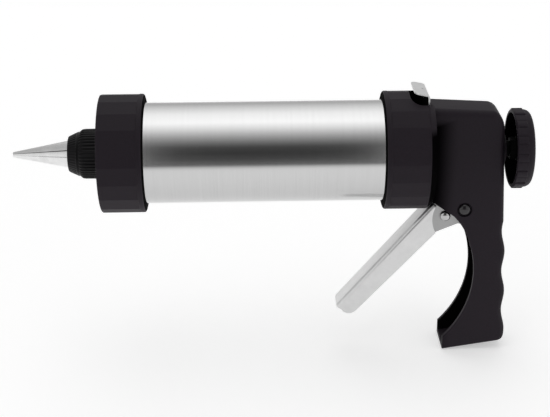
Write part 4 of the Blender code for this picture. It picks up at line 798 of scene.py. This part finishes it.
def build_trigger():
    """The folded channel with its sides cut round at the top, its two set-in ears and the rivet."""
    top, depth, tail_r = 8.0, 11.9, 4.9
    tail = arc((77.7, tail_r), tail_r, -14, 90, 16)
    points = [(top, 0.0), (81.7, 0.0), (82.7, 0.5), (83.1, 1.4)] + tail
    points += [(17.0, depth), (top, depth)]
    rounds = [1.9, 1.9, 1.9, 1.5, 0.7, 0.5] + [0.3] * len(tail)
    lever = make("trigger_channel",
                 slab([on_lever(*p) for p in points], rounds, LEVER_HALF, 8), LEVER_STEEL)
    far, deep = 89.6, depth + PAST
    hollow = [on_lever(*p) for p in ((2.0, SHEET), (far, SHEET), (far, deep), (2.0, deep))]
    combine(lever, slab(hollow, [0.7] * 4, LEVER_HALF - SHEET, 5))
    past = LEVER_HALF + PAST
    cut, cut_r = (5.3, 16.8), 14.9
    combine(lever, disc(on_lever(*cut), cut_r, -past, past, 96))

    # Each ear laps the channel below the round cut, goes round the pivot and ends in an arm
    lap = cut_r + 1.9
    high = math.degrees(math.asin((0.8 - cut[1]) / lap))
    low = math.degrees(math.asin((depth - SHEET - cut[1]) / lap))
    ear = [on_lever(*p) for p in arc(cut, lap, high, low, 16)]
    ear += arc(PIVOT, 9.4, -105, 45, 40)
    arm_half, arm_top, neck_z = 3.0, 15.0, -18.2
    nose = (PIVOT[0] + arm_half, PIVOT[1] + arm_top)
    ear += arc(nose, arm_half, 0, 180, 12)
    neck = (nose[0] - arm_half, neck_z)
    ear += [neck, (neck[0] - 4.5, neck[1] - 3.0), on_lever(2.0, 1.5), on_lever(10.4, 0.4)]
    outer = LEVER_HALF - 0.8
    for low_y, high_y in ((-outer, SHEET - outer), (outer - SHEET, outer)):
        combine(lever, extruded(ear, low_y, high_y), "UNION", "ear")
    combine(lever, disc(PIVOT, PIN_BORE, -past, past, 48))
    rivet, rivet_hole = on_lever(9.5, 9.35), 1.9
    combine(lever, disc(rivet, rivet_hole, -past, past, 48))
    finish_edges(lever, 0.12, sharp=30.0)
    # The set-in ears get the darker steel as painted shade
    paint(lever, EAR_SHADE_STEEL, lambda x, y, z, n: abs(abs(y) - outer) < 0.02 and abs(n.y) > 0.9)
    stand_in(lever, "trigger_lever", "trigger")

    seat, shoulder = outer + 0.3, outer - SHEET - 0.3
    head, rise, shank, spacer = 2.6, 1.5, 1.6, 2.2
    stations = dome(-seat, -1, head, rise)[::-1]
    stations += [(-seat, shank), (-shoulder, shank), (-shoulder, spacer),
                 (shoulder, spacer), (shoulder, shank), (seat, shank)]
    stations += dome(seat, 1, head, rise)
    pin = make("domed_rivet", turned_y(stations, 48, rivet), RIVET_STEEL)
    # Painted shadow on the rivet's sides and the rims of its heads
    paint(pin, SHADOW_STEEL, lambda x, y, z, n: abs(n.y) < 0.35)
    stand_in(pin, "spacer_rivet", "trigger")


# ---------------------------------------------------------------- brake plate

def build_brake():
    """The canted plate on the rod, whose top is bent over and rounded as the thumb tab."""
    cant = math.tan(math.radians(1.45))

    def on_cant(height):
        """A point (x, z) on the plate's middle, at a height."""
        return (19.85 + (height + 17.5) * cant, height)

    half_thick, tab_half, narrow_half, tip_r = 0.38, 10.2, 7.8, 3.0
    corner = on_cant(30.6)
    tip = Vector((13.9, 32.1))
    out = (tip - Vector(corner)).normalized()
    path = [on_cant(-19.5), on_cant(0.0), on_cant(20.0), on_cant(20.4)]
    widths = [narrow_half, narrow_half, narrow_half, tab_half]
    path += bend(on_cant(29.1), corner, Vector(corner) + out * 1.5, 12)
    widths += [tab_half] * (len(path) - len(widths))
    for i in range(13):
        a = math.pi / 2 * i / 12
        path.append(tuple(tip - out * tip_r * (1 - math.sin(a))))
        widths.append(tab_half - tip_r * (1 - math.cos(a)))
    loops = []
    for i, (point, width) in enumerate(zip(path, widths)):
        before, after = Vector(path[max(i - 1, 0)]), Vector(path[min(i + 1, len(path) - 1)])
        way = (after - before).normalized()
        side = Vector((way.y, -way.x)) * half_thick
        a, b = Vector(point) - side, Vector(point) + side
        loops.append([(a.x, -width, a.y), (b.x, -width, b.y), (b.x, width, b.y), (a.x, width, a.y)])
    plate = make("release_plate", stitch(loops, caps=True), PLATE_STEEL)

    # The rod's hole, and a small dent in the tab
    rod_hole, plate_x = ROD_R + 0.35, 19.9
    combine(plate, disc((0, 0), rod_hole, plate_x - PAST, plate_x + PAST, 48, "X"))
    dent, dent_r, dent_depth = tip - out * 5.0, 0.8, 0.3
    combine(plate, disc((dent.x, 0.0), dent_r, dent.y + half_thick - dent_depth, dent.y + 3.0,
                        24, "Z"))
    finish_edges(plate, 0.2, sharp=30.0)
    # Painted shade on the plate's lower front, down in the pocket
    paint(plate, SHADE_STEEL, lambda x, y, z, n: z < 28.6 and n.x < -0.5)
    stand_in(plate, "brake_plate", "release")


build_barrel()
build_front_ring()
build_tip()
build_nut()
build_rod()
build_knob()
build_housing()
build_pivot()
build_trigger()
build_brake()


# ---------------------------------------------------------------- floor, light and camera

# The camera, as fitted to the photo's ellipses. The focal length is in pixels of its width.
ELEVATION, YAW, ROLL = math.radians(22.0), math.radians(0.85), math.radians(-0.48)
DISTANCE, TARGET = 0.6695, Vector((0.00145, 0.0, 0.07607))
FOCAL_PX, PHOTO_WIDTH_PX, SENSOR_MM = 1321.6, 550, 36.0

# Brightness of the studio round the barrel's axis: degrees up from the front horizon, brightness
STUDIO = ((-20, 0.5), (-9, 0.16), (2, 0.08), (16, 0.045), (30, 0.07), (40, 0.22), (52, 0.48),
          (63, 0.8), (75, 1.2), (90, 1.6), (115, 1.4), (140, 0.95), (162, 0.56), (180, 0.6),
          (200, 0.7))
# The same towards the two ends of the press, bright low down and dimmer overhead
SIDES = ((-20, 0.6), (-9, 0.85), (0, 0.95), (25, 0.85), (50, 0.6), (90, 0.5), (140, 0.5),
         (165, 0.6), (180, 0.64), (200, 0.64))
SIDE_FROM, SIDE_TO = 0.2, 0.42
BRIGHTEST = 2.0
BACKDROP = 0.95

# The floor: its front edge, and how far back from there it gets its full tone for reflections
FLOOR_SIZE, FLOOR_FRONT, FLOOR_FULL, FLOOR_Z = 20.0, -0.66, -0.26, -0.0004
FLOOR_TONE, FLOOR_GLOW = 0.8, 0.42


def make_camera():
    """The photo's camera."""
    view = Vector((math.sin(YAW) * math.cos(ELEVATION), math.cos(YAW) * math.cos(ELEVATION),
                   -math.sin(ELEVATION)))
    level = Vector((math.cos(YAW), -math.sin(YAW), 0))
    upright = level.cross(view)
    right = math.cos(ROLL) * level + math.sin(ROLL) * upright
    up = -math.sin(ROLL) * level + math.cos(ROLL) * upright
    matrix = Matrix((right, up, -view)).transposed().to_4x4()
    matrix.translation = TARGET - DISTANCE * view
    data = bpy.data.cameras.new("camera")
    data.sensor_width = SENSOR_MM
    data.lens = FOCAL_PX / PHOTO_WIDTH_PX * SENSOR_MM
    data.clip_start = 0.01
    camera = bpy.data.objects.new("camera", data)
    camera.matrix_world = matrix
    bpy.context.scene.collection.objects.link(camera)
    bpy.context.scene.camera = camera


def make_floor():
    """A plain white floor. Its front part is dark where the press reflects it."""
    mesh = bpy.data.meshes.new("floor")
    size, front = FLOOR_SIZE, FLOOR_FRONT
    corners = [(-size, front), (size, front), (size, size), (-size, size)]
    mesh.from_pydata([(x, y, FLOOR_Z) for x, y in corners], [], [(0, 1, 2, 3)])
    material, tree, shader = shader_of("floor")
    coords = add_node(tree, "ShaderNodeTexCoord")
    split = add_node(tree, "ShaderNodeSeparateXYZ")
    tree.links.new(coords.outputs["Object"], split.inputs["Vector"])
    fade = ranged(tree, split.outputs["Y"], (front, FLOOR_FULL), (0.05, 1.0), smooth=True)
    seen = add_node(tree, "ShaderNodeLightPath")
    share = computed(tree, "MAXIMUM", fade, seen.outputs["Is Camera Ray"])
    for tone, socket in ((FLOOR_TONE, "Base Color"), (1.0, "Emission Color")):
        tree.links.new(tinted(tree, (tone,) * 3, share), shader.inputs[socket])
    shader.inputs["Emission Strength"].default_value = FLOOR_GLOW
    shader.inputs["Roughness"].default_value = 1.0
    shader.inputs["Specular IOR Level"].default_value = 0.0
    mesh.materials.append(material)
    floor = bpy.data.objects.new("floor", mesh)
    bpy.context.scene.collection.objects.link(floor)


def brightness_curve(tree, table, value):
    """The studio's brightness from one table, as a share of the brightest."""
    low, high = STUDIO[0][0], STUDIO[-1][0]
    curve = add_node(tree, "ShaderNodeFloatCurve")
    line = curve.mapping.curves[0]
    spots = [((degrees - low) / (high - low), bright / BRIGHTEST) for degrees, bright in table]
    line.points[0].location, line.points[-1].location = spots[0], spots[-1]
    for spot in spots[1:-1]:
        line.points.new(*spot)
    for point in line.points:
        point.handle_type = "VECTOR"
    curve.mapping.update()
    tree.links.new(value, curve.inputs["Value"])
    return curve.outputs["Value"]


def blended(tree, share, first, second):
    """From the first value to the second as the share goes from 0 to 1."""
    node = add_node(tree, "ShaderNodeMix", data_type="FLOAT")
    for value, name in ((share, "Factor"), (first, "A"), (second, "B")):
        feed(tree, value, node.inputs[name])
    return node.outputs["Result"]


def make_world():
    """A soft studio, bright overhead and dark behind the camera, which sees a plain white one."""
    world = bpy.data.worlds.new("world")
    world.use_nodes = True
    tree = world.node_tree
    coords = add_node(tree, "ShaderNodeTexCoord")
    split = add_node(tree, "ShaderNodeSeparateXYZ")
    tree.links.new(coords.outputs["Generated"], split.inputs["Vector"])
    ahead = computed(tree, "MULTIPLY", split.outputs["Y"], -1.0)
    angle = computed(tree, "ARCTAN2", split.outputs["Z"], ahead)
    spread = ranged(tree, angle, (math.radians(STUDIO[0][0]), math.radians(STUDIO[-1][0])))
    aside = ranged(tree, computed(tree, "ABSOLUTE", split.outputs["X"]), (SIDE_FROM, SIDE_TO),
                   smooth=True)
    studio = blended(tree, aside, brightness_curve(tree, STUDIO, spread),
                     brightness_curve(tree, SIDES, spread))
    seen = add_node(tree, "ShaderNodeLightPath")
    strength = blended(tree, seen.outputs["Is Camera Ray"],
                       computed(tree, "MULTIPLY", studio, BRIGHTEST), BACKDROP)
    ground = tree.nodes["Background"]
    ground.inputs["Color"].default_value = (1, 1, 1, 1)
    tree.links.new(strength, ground.inputs["Strength"])
    bpy.context.scene.world = world
    bpy.context.scene.view_settings.view_transform = "Standard"


make_floor()
make_world()
make_camera()
